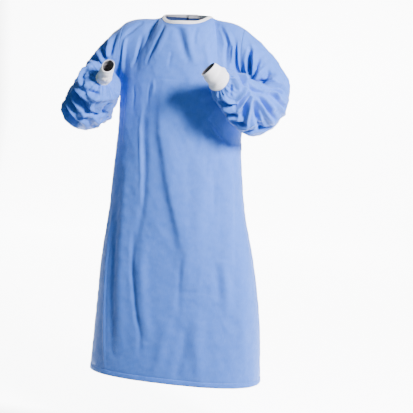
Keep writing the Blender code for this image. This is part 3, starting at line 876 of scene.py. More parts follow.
@dataclass
class Shell:
    """A thin cloth: a grid of points on its outer face, with the normals there."""

    name: str
    grid: Points
    normals: Points
    thickness: float
    material: bpy.types.Material
    wrap: bool = False

    def cut(self) -> Points:
        """Where each point lies on the flat cut.

        Returns:
            Its distances across and down the cloth, in metres.
        """
        across = np.zeros(self.grid.shape[:2])
        across[:, 1:] = np.cumsum(np.linalg.norm(np.diff(self.grid, axis=1), axis=-1), axis=1)
        if not self.wrap:
            across -= across[:, across.shape[1] // 2][:, None]
        down = np.zeros(self.grid.shape[:2])
        down[1:] = np.cumsum(np.linalg.norm(np.diff(self.grid, axis=0), axis=-1), axis=0)
        down = down.mean(axis=1, keepdims=True) * np.ones(across.shape)
        return np.stack([across, down, np.zeros_like(down)], axis=-1)

    def area(self) -> float:
        """The area of one layer.

        Returns:
            Square metres.
        """
        along = np.diff(self.grid, axis=1)[:-1]
        down = np.diff(self.grid, axis=0)[:, :-1]
        return float(np.linalg.norm(np.cross(along, down), axis=-1).sum())

    def make(self) -> bpy.types.Object:
        """Build the closed shell as an object that rides on the frame.

        Returns:
            The piece.
        """
        rows, columns = self.grid.shape[:2]
        inner = self.grid - self.normals * self.thickness
        points = np.concatenate([self.grid.reshape(-1, 3), inner.reshape(-1, 3)])
        index = np.arange(rows * columns).reshape(rows, columns)
        if self.wrap:
            index = np.concatenate([index, index[:, :1]], axis=1)
        quads = np.stack([index[:-1, :-1], index[:-1, 1:], index[1:, 1:], index[1:, :-1]], axis=-1)
        if self.faces_in(quads):
            quads = quads[..., ::-1]
            index = index[:, ::-1]
        quads = quads.reshape(-1, 4)
        edges = [index[0], index[-1][::-1]]
        if not self.wrap:
            edges += [index[:, -1], index[::-1, 0]]
        offset = rows * columns
        rims = [np.stack([edge[1:], edge[:-1], edge[:-1] + offset, edge[1:] + offset], axis=-1)
                for edge in edges]
        faces = np.concatenate([quads, quads[:, ::-1] + offset, *rims])
        mesh = bpy.data.meshes.new(self.name)
        mesh.from_pydata(points.tolist(), [], faces.tolist())
        flat = np.tile(self.cut().reshape(-1, 3), (2, 1))
        # The inner layer is marked 1, and the materials paint it in dark shade
        flat[rows * columns:, 2] = 1.0
        attribute = mesh.attributes.new("cut", "FLOAT_VECTOR", "POINT")
        attribute.data.foreach_set("vector", flat.astype(np.float32).ravel())
        piece = new_piece(self.name, mesh, self.material)
        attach(piece, "root")
        return piece

    def dress(self, node: str | None, slot: str, flat: tuple[float, float], held: str, under: str,
              area: float | None = None) -> bpy.types.Object:
        """Make the piece and hide the part of the frame that it stands for.

        Args:
            node: The node of the frame that it stands for, or none.
            slot: A material slot of the frame; not used.
            flat: The width and length of its flat cut; not used.
            held: How the cloth is held; not used.
            under: The piece that it rests on; not used.
            area: The area of its flat cut, where that is no rectangle; not used.

        Returns:
            The piece.
        """
        piece = self.make()
        if node is not None:
            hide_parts(node)
        log.info("built %s, one layer %.4f m2", self.name, self.area())
        return piece

    def faces_in(self, quads: Points) -> bool:
        """Whether faces look against the normals.

        Args:
            quads: The corners of the outer faces.

        Returns:
            True where their order of corners has to be turned round.
        """
        flat = self.grid.reshape(-1, 3)
        a, b, d = (flat[quads[..., corner]] for corner in (0, 1, 3))
        facing = (np.cross(b - a, d - a) * self.normals[:-1, :quads.shape[1]]).sum(-1)
        return float(facing.sum()) < 0


@dataclass
class Stitching:
    """A row of sewn stitches along a line on the cloth."""

    name: str
    material: bpy.types.Material
    length: float = 0.0032
    pitch: float = 0.0043
    thick: float = 0.00028
    thinnest: float = 0.35
    arch: float = 0.9
    sunk: float = 0.25
    lines: list[tuple[Points, Points]] = field(default_factory=list)
    SWELLS: ClassVar[tuple[float, ...]] = (0.0, 0.55, 1.0, 0.55, 0.0)
    SIDES: ClassVar[int] = 5

    def along(self, points: Points, normals: Points) -> None:
        """Add a line of points with the cloth's normals there."""
        self.lines.append((points, normals))

    def make(self, slot: str) -> bpy.types.Object:
        """Build all the stitches as one piece.

        Args:
            slot: A material slot of the frame; not used.

        Returns:
            The piece.
        """
        rings: list[Points] = []
        faces: list[tuple[int, ...]] = []
        for points, normals in self.lines:
            reach = distances(points)
            for middle in np.arange(self.pitch, reach[-1] - self.pitch / 2, self.pitch):
                places = middle + np.linspace(-0.5, 0.5, len(self.SWELLS)) * self.length
                spots = read_along(places, reach, points)
                facing = unit(read_along(middle, reach, normals))
                faces += self.faces(len(rings) * self.SIDES)
                rings += self.stitch(spots, facing)
        mesh = bpy.data.meshes.new(self.name)
        mesh.from_pydata(np.concatenate(rings).tolist(), [], faces)
        piece = new_piece(self.name, mesh, self.material)
        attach(piece, "root")
        log.info("built %s, %d stitches", self.name, len(rings) // len(self.SWELLS))
        return piece

    def stitch(self, spots: Points, facing: Points) -> list[Points]:
        """The rings of one stitch, thin where it dips into the cloth.

        Args:
            spots: The middles of its rings.
            facing: The cloth's normal.

        Returns:
            The points of each ring.
        """
        aside = np.cross(unit(spots[-1] - spots[0]), facing)
        turn = all_round(self.SIDES)[:, None]
        circle = np.cos(turn) * aside + np.sin(turn) * facing
        rings = []
        for spot, swell in zip(spots, self.SWELLS):
            rise = facing * self.thick * (swell * self.arch - self.sunk)
            reach = self.thick * (self.thinnest + (1 - self.thinnest) * swell)
            rings.append(spot + rise + circle * reach)
        return rings

    def faces(self, base: int) -> list[tuple[int, ...]]:
        """The faces of one stitch.

        Args:
            base: The number of its first point.

        Returns:
            The corners of each face.
        """
        sides = self.SIDES
        found = []
        for at in range(base, base + (len(self.SWELLS) - 1) * sides, sides):
            for k in range(sides):
                n = (k + 1) % sides
                found.append((at + k, at + n, at + sides + n, at + sides + k))
        return found


SOFT, SHARP = Profile.SOFT, Profile.SHARP


@dataclass
class Panel:
    """A body panel: the front, or one half of the back."""

    name: str
    facing: Facing
    columns: list[float]
    creases: tuple[Crease, ...]
    flat: tuple[float, float]
    area: float
    crumple: Crumple
    lap_lift: float = 0.0
    lap_from: float = 0.62
    lap_rise: float = 0.30
    overlap_top: float = 0.055
    overlap_hem: float = 0.130
    calm_side: float = 0.10
    calm_top: float = 0.12
    hem_fold: float = 0.018
    hem_groove: float = 0.0008
    hem_extra: float = 0.0007
    hem_soft: float = 0.003
    hem_rows: tuple[float, ...] = (0.028, 0.0215, 0.0195, 0.018, 0.0165, 0.0145, 0.009, 0.004, 0.0)
    stitched_row: int = 3
    row_step: float = 0.0052
    shared_seam: float = 0.36
    grid: Points = field(init=False)
    normals: Points = field(init=False)

    def rows(self) -> list[float]:
        """Where the panel has its rows.

        Returns:
            Values of down, from the top edge to the hem.
        """
        last = BODY.length - self.hem_rows[0]
        drops = np.linspace(BODY.armpit, last, int((last - BODY.armpit) / self.row_step) + 1)[1:]
        lower = [BODY.down_at(drop) for drop in drops]
        hem = [BODY.down_at(BODY.length - rise) for rise in self.hem_rows[1:]]
        return steps(0, 1, ARMHOLE_ROWS) + lower + hem

    def outward(self, grid: Points) -> Points:
        """The normals that point out of the body."""
        way = self.facing.value * (self.columns[-1] - self.columns[0])
        return grid_normals(grid) * (1.0 if way > 0 else -1.0)

    def build(self) -> None:
        """Shape the panel: the plain form, then its creases, crumples, hem and seams."""
        across, down = np.meshgrid(np.array(self.columns), np.array(self.rows()))
        side = np.sign(self.columns[0])
        if self.facing is Facing.BACK:
            room = BODY.neck_share + self.overlap_top
            past = np.clip(BODY.neck_share - across * side, 0, None) / room
            across = across - side * past * (self.overlap_hem - self.overlap_top) * down / 2
        grid = BODY.point(across, down, self.facing)
        normals = self.outward(grid)
        calm = ease((1 - np.abs(across)) / self.calm_side) * ease(down / self.calm_top)
        height = lifted(self.creases, grid) * calm
        height += self.crumple.lift(grid) * calm
        if self.lap_lift:
            height += self.lap_lift * ease((self.lap_from - across * side) / self.lap_rise)
        height += self.hem_relief(grid)
        grid = grid + normals * height[..., None]
        self.grid = grid
        self.normals = self.seam_normals(grid, self.outward(grid))

    def hem_relief(self, grid: Points) -> Points:
        """The turned-up hem: a sewn groove above a slightly thicker edge.

        Args:
            grid: The plain panel.

        Returns:
            One height for each point.
        """
        rise = grid[..., 2] - grid[-1:, :, 2]
        groove = bell((rise - self.hem_fold) / self.hem_soft) * -self.hem_groove
        thicker = self.hem_extra * ease((self.hem_fold - rise) / self.hem_soft)
        return groove + thicker

    def neckline(self) -> tuple[Points, Points, Points]:
        """The neckline at each column.

        Returns:
            Whether the column ends there, the binding's rise and its outward normal.
        """
        columns = np.array(self.columns)
        point, rising = BODY.neckline(columns, self.facing)
        outward = point * np.array([1.0, 1.0, 0.0])
        outward = unit(outward - (outward * rising).sum(-1, keepdims=True) * rising)
        return np.abs(columns) <= BODY.neck_share + NEAR, rising, outward

    def seam_normals(self, grid: Points, normals: Points) -> Points:
        """Give both cloths at a seam or at the neckline the same normal.

        Args:
            grid: The panel's points.
            normals: Its own normals.

        Returns:
            The normals with those at its edges replaced.
        """
        on_neck, _, upright = self.neckline()
        crown = unit(np.cross(np.gradient(grid[0], axis=0), BACKWARDS))
        crown = crown * np.sign(crown[:, 2:])
        normals[0] = np.where(on_neck[:, None], upright, crown)
        for end in (0, -1):
            if abs(self.columns[end]) > 1 - NEAR:
                normals[ARMHOLE_ROWS:, end] = np.array([np.sign(self.columns[end]), 0.0, 0.0])
        return normals

    def end(self, side: Side) -> int:
        """The place of the column that ends at an armhole."""
        return 0 if self.columns[0] * side.value > 0 else -1

    def armhole(self, side: Side) -> Points:
        """The panel's edge at an armhole, from the top down."""
        return self.grid[:ARMHOLE_ROWS + 1, self.end(side)]

    def share_normals(self, side: Side, seam: Points) -> None:
        """Blend the seam's own normals into the armhole edge.

        Args:
            side: The armhole's side.
            seam: The seam's normals from the top down.
        """
        edge = slice(ARMHOLE_ROWS + 1), self.end(side)
        shared = (ARMHOLE_ROWS - np.arange(ARMHOLE_ROWS + 1)) / (self.shared_seam * ARMHOLE_ROWS)
        shared = ease(shared)[:, None]
        self.normals[edge] = unit(seam * shared + self.normals[edge] * (1 - shared))

    def dress(self, cloth: bpy.types.Material) -> bpy.types.Object:
        """Make the piece of that cloth."""
        shell = Shell(self.name + "_cloth", self.grid, self.normals, CLOTH, cloth)
        return shell.dress(self.name, BLUE, self.flat, "hung", "neck_binding_cloth", self.area)

    def between(self, down: Points, column: Points) -> tuple[Points, Points]:
        """Points of the shaped panel between its own rows and columns.

        Args:
            down: The values of down.
            column: The places in the order of the columns, from the side seam.

        Returns:
            The points and the normals there.
        """
        rows = np.array(self.rows())
        row = np.interp(down, rows, np.arange(len(rows)))
        upper = np.clip(row.astype(int), 0, len(rows) - 2)
        left = np.clip(column.astype(int), 0, len(self.columns) - 2)
        fall, step = (row - upper)[..., None], (column - left)[..., None]
        found = []
        for table in (self.grid, self.normals):
            near = table[upper, left] * (1 - step) + table[upper, left + 1] * step
            far = table[upper + 1, left] * (1 - step) + table[upper + 1, left + 1] * step
            found.append(near * (1 - fall) + far * fall)
        return found[0], found[1]

    def neck_edge(self, order: int) -> tuple[Points, Points, Points]:
        """The panel's part of the neckline.

        Args:
            order: 1 or -1, the order in which its columns are read.

        Returns:
            Its points, the binding's rise and its outward normal there.
        """
        on_neck, rising, outward = self.neckline()
        keep = np.flatnonzero(on_neck)[::order]
        return self.grid[0, keep], rising[keep], outward[keep]

    def hem_line(self) -> tuple[Points, Points]:
        """The line of the hem's stitches and the normals there."""
        row = self.stitched_row - len(self.hem_rows)
        return self.grid[row], self.normals[row]


FRONT_CREASES = (
    # From the neckline down over the chest
    Crease(0.0080, -0.0055, ((-0.062, -0.022), (-0.061, -0.043), (-0.071, -0.066), (-0.083, -0.099),
                             (-0.098, -0.130), (-0.108, -0.158))),
    Crease(0.014, 0.0040, ((-0.046, -0.030), (-0.050, -0.060), (-0.066, -0.100), (-0.084, -0.140))),
    Crease(0.015, -0.0062, ((-0.026, -0.030), (-0.008, -0.044), (0.006, -0.075), (0.020, -0.109),
                            (0.040, -0.150)), SOFT),
    Crease(0.015, 0.0060, ((0.004, -0.028), (0.022, -0.044), (0.031, -0.075), (0.042, -0.112),
                           (0.062, -0.160)), SOFT),
    Crease(0.008, -0.0034, ((0.052, -0.036), (0.049, -0.065), (0.053, -0.095))),
    Crease(0.012, 0.0050, ((0.084, -0.090), (0.094, -0.120), (0.102, -0.150), (0.106, -0.180)), SOFT),
    Crease(0.006, -0.0034, ((-0.020, -0.112), (-0.024, -0.140), (-0.027, -0.172))),
    Crease(0.009, -0.0055, ((-0.142, -0.065), (-0.150, -0.115), (-0.154, -0.147), (-0.166, -0.172))),
    Crease(0.012, 0.0035, ((-0.122, -0.050), (-0.130, -0.100), (-0.134, -0.150))),
    Crease(0.010, -0.0055, ((-0.146, -0.020), (-0.170, -0.039), (-0.197, -0.063), (-0.208, -0.080))),
    Crease(0.010, 0.0085, ((-0.198, -0.068), (-0.204, -0.100), (-0.206, -0.140), (-0.206, -0.200))),
    Crease(0.009, -0.0065, ((0.118, -0.028), (0.140, -0.058), (0.151, -0.085), (0.149, -0.108),
                            (0.153, -0.145), (0.160, -0.180))),
    Crease(0.012, 0.0050, ((0.132, -0.034), (0.157, -0.068), (0.168, -0.098), (0.168, -0.130))),
    Crease(0.006, 0.0085, ((0.172, -0.092), (0.170, -0.118), (0.168, -0.150))),
    Crease(0.006, -0.0100, ((0.177, -0.090), (0.182, -0.122), (0.185, -0.160), (0.186, -0.190))),
    Crease(0.006, 0.0085, ((0.187, -0.080), (0.192, -0.115), (0.196, -0.160), (0.197, -0.190))),
    # The chest and the waist
    Crease(0.017, -0.0052, ((-0.094, -0.215), (-0.101, -0.275), (-0.107, -0.341), (-0.107, -0.407),
                            (-0.101, -0.472), (-0.100, -0.560), (-0.104, -0.640), (-0.120, -0.720),
                            (-0.134, -0.790)), SOFT),
    Crease(0.008, 0.0040, ((-0.112, -0.290), (-0.123, -0.362), (-0.118, -0.444), (-0.112, -0.520),
                           (-0.110, -0.640))),
    Crease(0.005, -0.0026, ((-0.084, -0.203), (-0.093, -0.245), (-0.096, -0.300))),
    Crease(0.005, 0.0024, ((-0.078, -0.206), (-0.074, -0.232), (-0.080, -0.262))),
    Crease(0.005, -0.0022, ((-0.152, -0.228), (-0.147, -0.262), (-0.150, -0.300))),
    Crease(0.052, 0.0120, ((-0.036, -0.205), (-0.040, -0.260), (-0.046, -0.330), (-0.038, -0.403),
                           (-0.024, -0.460), (-0.013, -0.530), (0.008, -0.610), (0.034, -0.706),
                           (0.048, -0.790), (0.052, -0.900)), SOFT, 0.55),
    Crease(0.018, 0.0045, ((-0.176, -0.200), (-0.178, -0.253), (-0.181, -0.303), (-0.186, -0.370),
                           (-0.188, -0.440)), SHARP, 0.6),
    Crease(0.006, -0.0045, ((0.110, -0.325), (0.140, -0.372), (0.170, -0.422))),
    Crease(0.006, -0.0030, ((0.100, -0.355), (0.132, -0.388), (0.152, -0.405))),
    Crease(0.020, 0.0060, ((0.170, -0.405), (0.176, -0.500), (0.184, -0.600), (0.192, -0.720),
                           (0.200, -0.840)), SHARP, -0.5),
    Crease(0.012, -0.0030, ((0.128, -0.470), (0.134, -0.560), (0.138, -0.660))),
    # The skirt
    Crease(0.011, -0.0046, ((-0.134, -0.700), (-0.136, -0.780), (-0.135, -0.850), (-0.124, -0.940),
                            (-0.112, -1.010), (-0.099, -1.060), (-0.099, -1.140))),
    Crease(0.024, 0.0065, ((-0.096, -0.730), (-0.100, -0.830), (-0.092, -0.950), (-0.070, -1.080)), SOFT),
    Crease(0.012, -0.0036, ((0.036, -0.740), (0.041, -0.785), (0.036, -0.820), (0.032, -0.896),
                            (0.035, -0.990)), SOFT),
    Crease(0.030, 0.0050, ((0.085, -0.450), (0.095, -0.600), (0.092, -0.760)), SOFT),
    Crease(0.018, -0.0038, ((0.140, -0.780), (0.152, -0.825), (0.163, -0.870), (0.163, -0.930)), SOFT),
    Crease(0.022, 0.0070, ((0.172, -0.790), (0.186, -0.870), (0.196, -0.980)), SOFT),
    Crease(0.005, 0.0060, ((-0.226, -0.660), (-0.237, -0.740), (-0.244, -0.868), (-0.245, -1.000),
                           (-0.242, -1.110), (-0.233, -1.215))),
    Crease(0.018, -0.0060, ((-0.206, -0.620), (-0.212, -0.780), (-0.214, -0.980), (-0.206, -1.160)), SOFT),
    Crease(0.026, 0.0055, ((-0.168, -0.480), (-0.176, -0.650), (-0.182, -0.900), (-0.170, -1.150)), SOFT),
    Crease(0.022, 0.0045, ((0.000, -1.000), (-0.020, -1.110), (-0.045, -1.200)), SOFT),
    Crease(0.020, -0.0045, ((0.060, -1.020), (0.050, -1.120), (0.030, -1.210)), SOFT),
    Crease(0.026, 0.0055, ((0.095, -0.960), (0.100, -1.100), (0.115, -1.220)), SOFT),
    Crease(0.028, 0.0060, ((0.222, -0.700), (0.236, -0.900), (0.250, -1.150)), SOFT),
)

BACK_CREASES = (
    # Gathers over and under the waist ties
    Crease(0.014, -0.0060, ((-0.150, -0.330), (-0.138, -0.425), (-0.146, -0.540))),
    Crease(0.013, 0.0060, ((-0.118, -0.345), (-0.112, -0.425), (-0.122, -0.560))),
    Crease(0.012, -0.0065, ((-0.094, -0.320), (-0.088, -0.425), (-0.096, -0.530))),
    Crease(0.012, 0.0065, ((-0.068, -0.350), (-0.066, -0.425), (-0.072, -0.590))),
    Crease(0.011, -0.0070, ((-0.040, -0.330), (-0.046, -0.425), (-0.050, -0.520))),
    Crease(0.011, 0.0060, ((0.000, -0.340), (0.004, -0.425), (0.000, -0.540))),
    Crease(0.012, -0.0070, ((0.030, -0.310), (0.026, -0.425), (0.034, -0.560))),
    Crease(0.012, 0.0065, ((0.056, -0.350), (0.050, -0.425), (0.060, -0.600))),
    Crease(0.013, -0.0060, ((0.088, -0.330), (0.078, -0.425), (0.090, -0.530))),
    Crease(0.014, 0.0055, ((0.120, -0.340), (0.108, -0.425), (0.122, -0.570))),
    # The skirt and the yoke
    Crease(0.034, 0.0105, ((-0.110, -0.445), (-0.118, -0.560), (-0.135, -0.760), (-0.150, -1.130)), SOFT),
    Crease(0.022, -0.0083, ((-0.165, -0.440), (-0.178, -0.560), (-0.205, -0.800),
                            (-0.230, -1.150)), SOFT),
    Crease(0.018, -0.0075, ((-0.060, -0.445), (-0.062, -0.600), (-0.080, -0.800)), SOFT),
    Crease(0.034, 0.0105, ((0.080, -0.445), (0.088, -0.600), (0.102, -0.820), (0.110, -1.120)), SOFT),
    Crease(0.022, -0.0083, ((0.140, -0.440), (0.152, -0.600), (0.172, -0.800), (0.190, -1.100)), SOFT),
    Crease(0.016, -0.0067, ((0.035, -0.450), (0.030, -0.600), (0.040, -0.760))),
    Crease(0.024, -0.0083, ((-0.150, -0.080), (-0.120, -0.160), (-0.090, -0.260),
                            (-0.060, -0.400)), SOFT),
    Crease(0.024, -0.0083, ((0.140, -0.090), (0.110, -0.170), (0.080, -0.270), (0.045, -0.400)), SOFT),
    Crease(0.016, 0.0075, ((-0.165, -0.200), (-0.130, -0.290), (-0.100, -0.400))),
    Crease(0.016, 0.0075, ((0.160, -0.200), (0.125, -0.290), (0.095, -0.400))),
    Crease(0.020, 0.0060, ((-0.020, -0.060), (-0.030, -0.150), (-0.028, -0.240)), SOFT),
    Crease(0.012, -0.0067, ((-0.190, -0.260), (-0.160, -0.350), (-0.150, -0.410))),
    Crease(0.012, -0.0067, ((0.180, -0.260), (0.150, -0.350), (0.140, -0.410))),
)


def back_columns(side: Side) -> list[float]:
    """The columns of a back panel, from its side seam past the middle of the back."""
    s = side.value
    return (steps(s, s * BODY.neck_share, 40)
            + steps(s * BODY.neck_share, -s * 0.055, 34)[1:])


FRONT_COLUMNS = (steps(-1, -BODY.neck_share, 42)
                 + steps(-BODY.neck_share, BODY.neck_share, 76)[1:]
                 + steps(BODY.neck_share, 1, 42)[1:])


@dataclass
class Sleeve:
    """One sleeve: cap, bend and forearm, gathered into its cuff."""

    name: str
    arm: ArmForm
    creases: tuple[Crease, ...]
    flat: tuple[float, float]
    area: float
    crumple: Crumple
    gather: float = 0.001984
    depth: float = 2.3
    crest: float = 1.45
    steepest: float = 1.75
    handle: float = 0.35
    calm_cap: float = 2.6
    calm_wrist: float = 0.97
    seam_ridge: float = 0.0006
    pucker: float = 0.0003
    puckers: int = 21
    cap_rows: int = 44
    bend_rows: int = 104
    fore_rows: int = 84
    grid: Points = field(init=False)
    normals: Points = field(init=False)

    def leaving(self, loop: Points) -> tuple[Points, Points]:
        """How the sleeve leaves the armhole.

        Args:
            loop: The armhole's points.

        Returns:
            The sleeve's directions and its normals there.
        """
        fall = 0.10 + 0.60 * (1 - np.cos(all_round(AROUND))) / 2
        side = float(self.arm.side.value)
        outward = unit(np.stack([np.full(AROUND, side), np.zeros(AROUND), -fall], axis=-1))
        tangent = np.roll(loop, -1, axis=0) - np.roll(loop, 1, axis=0)
        normals = unit(np.cross(outward, tangent))
        facing = np.sign(((loop - loop.mean(axis=0)) * normals).sum(axis=-1, keepdims=True))
        return outward, normals * facing

    def build(self, front: Panel, back: Panel) -> None:
        """Shape the sleeve from the armhole that the two panels leave open.

        Args:
            front: The front panel.
            back: The back panel of the same side.
        """
        arm, top = self.arm, ARMHOLE_ROWS
        loop = np.concatenate([front.armhole(arm.side)[::-1], back.armhole(arm.side)[1:top]])
        outward, loop_normals = self.leaving(loop)
        front.share_normals(arm.side, loop_normals[top::-1])
        back.share_normals(arm.side, np.roll(loop_normals, -top, axis=0)[:top + 1])
        angle = all_round(AROUND)
        first = arm.ring(np.full(AROUND, arm.first_ring), angle)
        second = arm.ring(np.full(AROUND, arm.first_ring + 0.01), angle)
        upper = unit(second - first)
        reach = np.linalg.norm(first - loop, axis=-1, keepdims=True)
        start, pull = loop + outward * SEAM, reach * self.handle
        cap = [bezier(start, start + outward * pull, first - upper * pull, first,
                      np.full(AROUND, row / self.cap_rows)) for row in range(self.cap_rows)]
        at_grid, angle_grid = np.meshgrid(self.stations(), angle, indexing="ij")
        grid = np.concatenate([np.array(cap), arm.ring(at_grid, angle_grid)])
        normals = grid_normals(grid, wrap=True) * arm.side.value
        calm = ease(np.arange(len(grid)) * self.calm_cap / self.cap_rows)[:, None]
        height = lifted(self.traced(grid), grid) * calm
        height += self.crumple.lift(grid) * calm
        height[self.cap_rows:] *= 1 - ease((at_grid - self.calm_wrist) / (1 - self.calm_wrist))
        height[self.cap_rows:] += self.gathers(at_grid, angle_grid)
        height += self.seam_puckers(grid)
        grid = grid + normals * height[..., None]
        normals = grid_normals(grid, wrap=True) * arm.side.value
        normals[0] = loop_normals
        normals[-1] = unit(grid[-1] - np.array(arm.wrist))
        self.grid, self.normals = grid, normals

    def stations(self) -> Points:
        """The places along the sleeve at which its bend and forearm have rings."""
        bend = steps(self.arm.first_ring, self.arm.bend_end, self.bend_rows)
        return np.array(bend + steps(self.arm.bend_end, 1, self.fore_rows)[1:])

    def traced(self, grid: Points) -> list[Crease]:
        """The creases laid on the plain sleeve.

        Args:
            grid: The plain sleeve.

        Returns:
            The same creases with points on the cloth.
        """
        cap = np.arange(self.cap_rows) * self.arm.first_ring / self.cap_rows
        places = np.concatenate([cap, self.stations()])
        traced = []
        for crease in self.creases:
            line = smooth_line(np.array(crease.points, float))
            row = np.interp(line[:, 0], places, np.arange(len(places)))
            spots = spots_on(grid, row, line[:, 1] / 360 * AROUND)
            most = self.steepest * crease.width
            height = crease.height * (self.crest if crease.height > 0 else self.depth)
            height = min(max(height, -most), most)
            traced.append(replace(crease, height=height, points=tuple(map(tuple, spots))))
        return traced

    def gathers(self, at: Points, angle: Points) -> Points:
        """The small uneven folds in which the cloth runs into the cuff.

        Args:
            at: Places along the sleeve.
            angle: Angles round it.

        Returns:
            One height for each place.
        """
        random = np.random.default_rng(11 + self.arm.side.value)
        total = np.zeros(at.shape)
        for count, share in ((9, 0.8), (14, 1.0), (23, 0.55), (31, 0.35)):
            phase = random.uniform(0, 2 * math.pi)
            length = 0.10 + 0.045 * np.sin(angle * 3 + phase * 2) + 0.03 * np.sin(angle * 7 + phase)
            held = ease((at - 1 + length) / (0.8 * length)) * ease((1.004 - at) / 0.02)
            total += share * held * np.sin(angle * count + phase + 1.1 * np.sin(angle * 2 + phase))
        return self.gather * total

    def seam_puckers(self, grid: Points) -> Points:
        """The ridge and the small puckers along the armhole seam.

        Args:
            grid: The plain sleeve.

        Returns:
            One height for each point.
        """
        reach = np.zeros(grid.shape[:2])
        reach[1:] = np.cumsum(np.linalg.norm(np.diff(grid, axis=0), axis=-1), axis=0)
        uneven = 1.5 * np.sin(np.arange(AROUND) / 9)
        wave = np.sin(all_round(AROUND) * self.puckers + uneven)
        return (self.seam_ridge * bell((reach - 0.007) / 0.006)
                + self.pucker * wave * bell((reach - 0.012) / 0.010))

    def dress(self, cloth: bpy.types.Material) -> bpy.types.Object:
        """Make the piece of that cloth."""
        shell = Shell(self.name + "_cloth", self.grid, self.normals, CLOTH, cloth, wrap=True)
        return shell.dress(self.name, BLUE, self.flat, "gathered", "front_cloth", self.area)


@dataclass
class Cuff:
    """A ribbed knit cuff, sewn to the gathered end of its sleeve."""

    name: str
    arm: ArmForm
    flat: tuple[float, float]
    seed: int
    wrinkles: int = 13
    wrinkle_widths: tuple[float, float] = (0.0045, 0.0085)
    wrinkle_heights: tuple[float, float] = (0.0020, 0.0038)
    wrinkle_spans: tuple[float, float] = (90, 190)
    tilt: float = 0.16
    bow: float = 0.06
    ribs: int = 46
    rib_height: float = 0.00042
    thickness: float = 0.0022
    points_a_rib: int = 6
    rows: int = 34
    handle: float = 0.3
    joined: float = 0.12
    roll: float = 0.0009
    tuck: float = 0.0010

    def slack(self, grid: Points) -> Points:
        """The height of the wrinkles of a knit that is pushed together a little.

        Args:
            grid: The plain cuff.

        Returns:
            One height for each point.
        """
        random = np.random.default_rng(self.seed)
        share = np.linspace(0, 1, 12)
        creases = []
        for order in range(self.wrinkles):
            along = 0.10 + 0.74 * (order + random.uniform(0, 1)) / self.wrinkles
            start, span = random.uniform(0, 360), random.uniform(*self.wrinkle_spans)
            tilt, bow = random.uniform(-self.tilt, self.tilt), random.uniform(-self.bow, self.bow)
            row = np.clip(along + tilt * (share - 0.5) + bow * np.sin(share * math.pi), 0.03, 0.93)
            around = (start + span * share) / 360 * grid.shape[1]
            points = spots_on(grid, row * (len(grid) - 1), around)
            height = random.uniform(*self.wrinkle_heights) * (1 if order % 2 else -1)
            width = random.uniform(*self.wrinkle_widths)
            creases.append(Crease(width, height, tuple(map(tuple, points)), SOFT))
        return lifted(creases, grid)

    def relief(self, angle: Points) -> Points:
        """The ribs, the rolled mouth and the tuck at the seam.

        Args:
            angle: Angles round the cuff.

        Returns:
            One height for each point.
        """
        along = np.linspace(0, 1, self.rows)[:, None]
        rib = self.rib_height * np.cos(angle * self.ribs) * ease((1 - along) / 0.05)
        roll = -self.roll * ease((along - 0.965) / 0.035) ** 2
        tuck = -self.tuck * (1 - ease(along / 0.04))
        return rib + roll + tuck

    def build(self, rim: Points, knit: bpy.types.Material) -> bpy.types.Object:
        """Shape the cuff from the wrist seam to its open mouth and make the piece.

        Args:
            rim: The end of the sleeve.
            knit: The material.

        Returns:
            The piece.
        """
        arm = self.arm
        _, fore, axis, _, _ = arm.directions()
        wrist, end, way = np.array(arm.wrist), np.array(arm.cuff_end), unit(arm.cuff_way)
        angle = all_round(self.ribs * self.points_a_rib)
        turned = np.append(all_round(len(rim)), 2 * math.pi)
        seam = read_along(angle, turned, np.concatenate([rim, rim[:1]]))
        pull = np.linalg.norm(end - wrist) * self.handle
        grid, normals = [], []
        for share in np.linspace(0, 1, self.rows):
            centre = bezier(wrist, wrist + fore * pull, end - way * pull, end, share)
            facing = unit(fore + (way - fore) * ease(share))
            inwards = arm.side.value * axis
            inwards = unit(inwards - (inwards @ facing) * facing)
            crookwards = arm.side.value * np.cross(inwards, facing)
            wide, deep = (base + (mouth - base) * ease(share)
                          for base, mouth in zip(arm.base, arm.mouth))
            spoke = (np.cos(angle)[:, None] * inwards * wide
                     + np.sin(angle)[:, None] * crookwards * deep)
            meeting = 1 - ease(share / self.joined)
            grid.append((centre + spoke) * (1 - meeting) + (seam + fore * SEAM) * meeting)
            normals.append(unit(np.cos(angle)[:, None] * inwards / wide
                                + np.sin(angle)[:, None] * crookwards / deep))
        grid, normals = np.array(grid), np.array(normals)
        along = np.linspace(0, 1, self.rows)[:, None]
        free = ease((1 - along) / 0.12) * ease(along / 0.06)
        height = self.relief(angle) + self.slack(grid) * free
        grid = grid + normals * height[..., None]
        shell = Shell(self.name + "_knit", grid, normals, self.thickness, knit, wrap=True)
        sleeve = self.name.replace("cuff", "sleeve") + "_cloth"
        return shell.dress(self.name, KNITTED, self.flat, "stretched", sleeve)


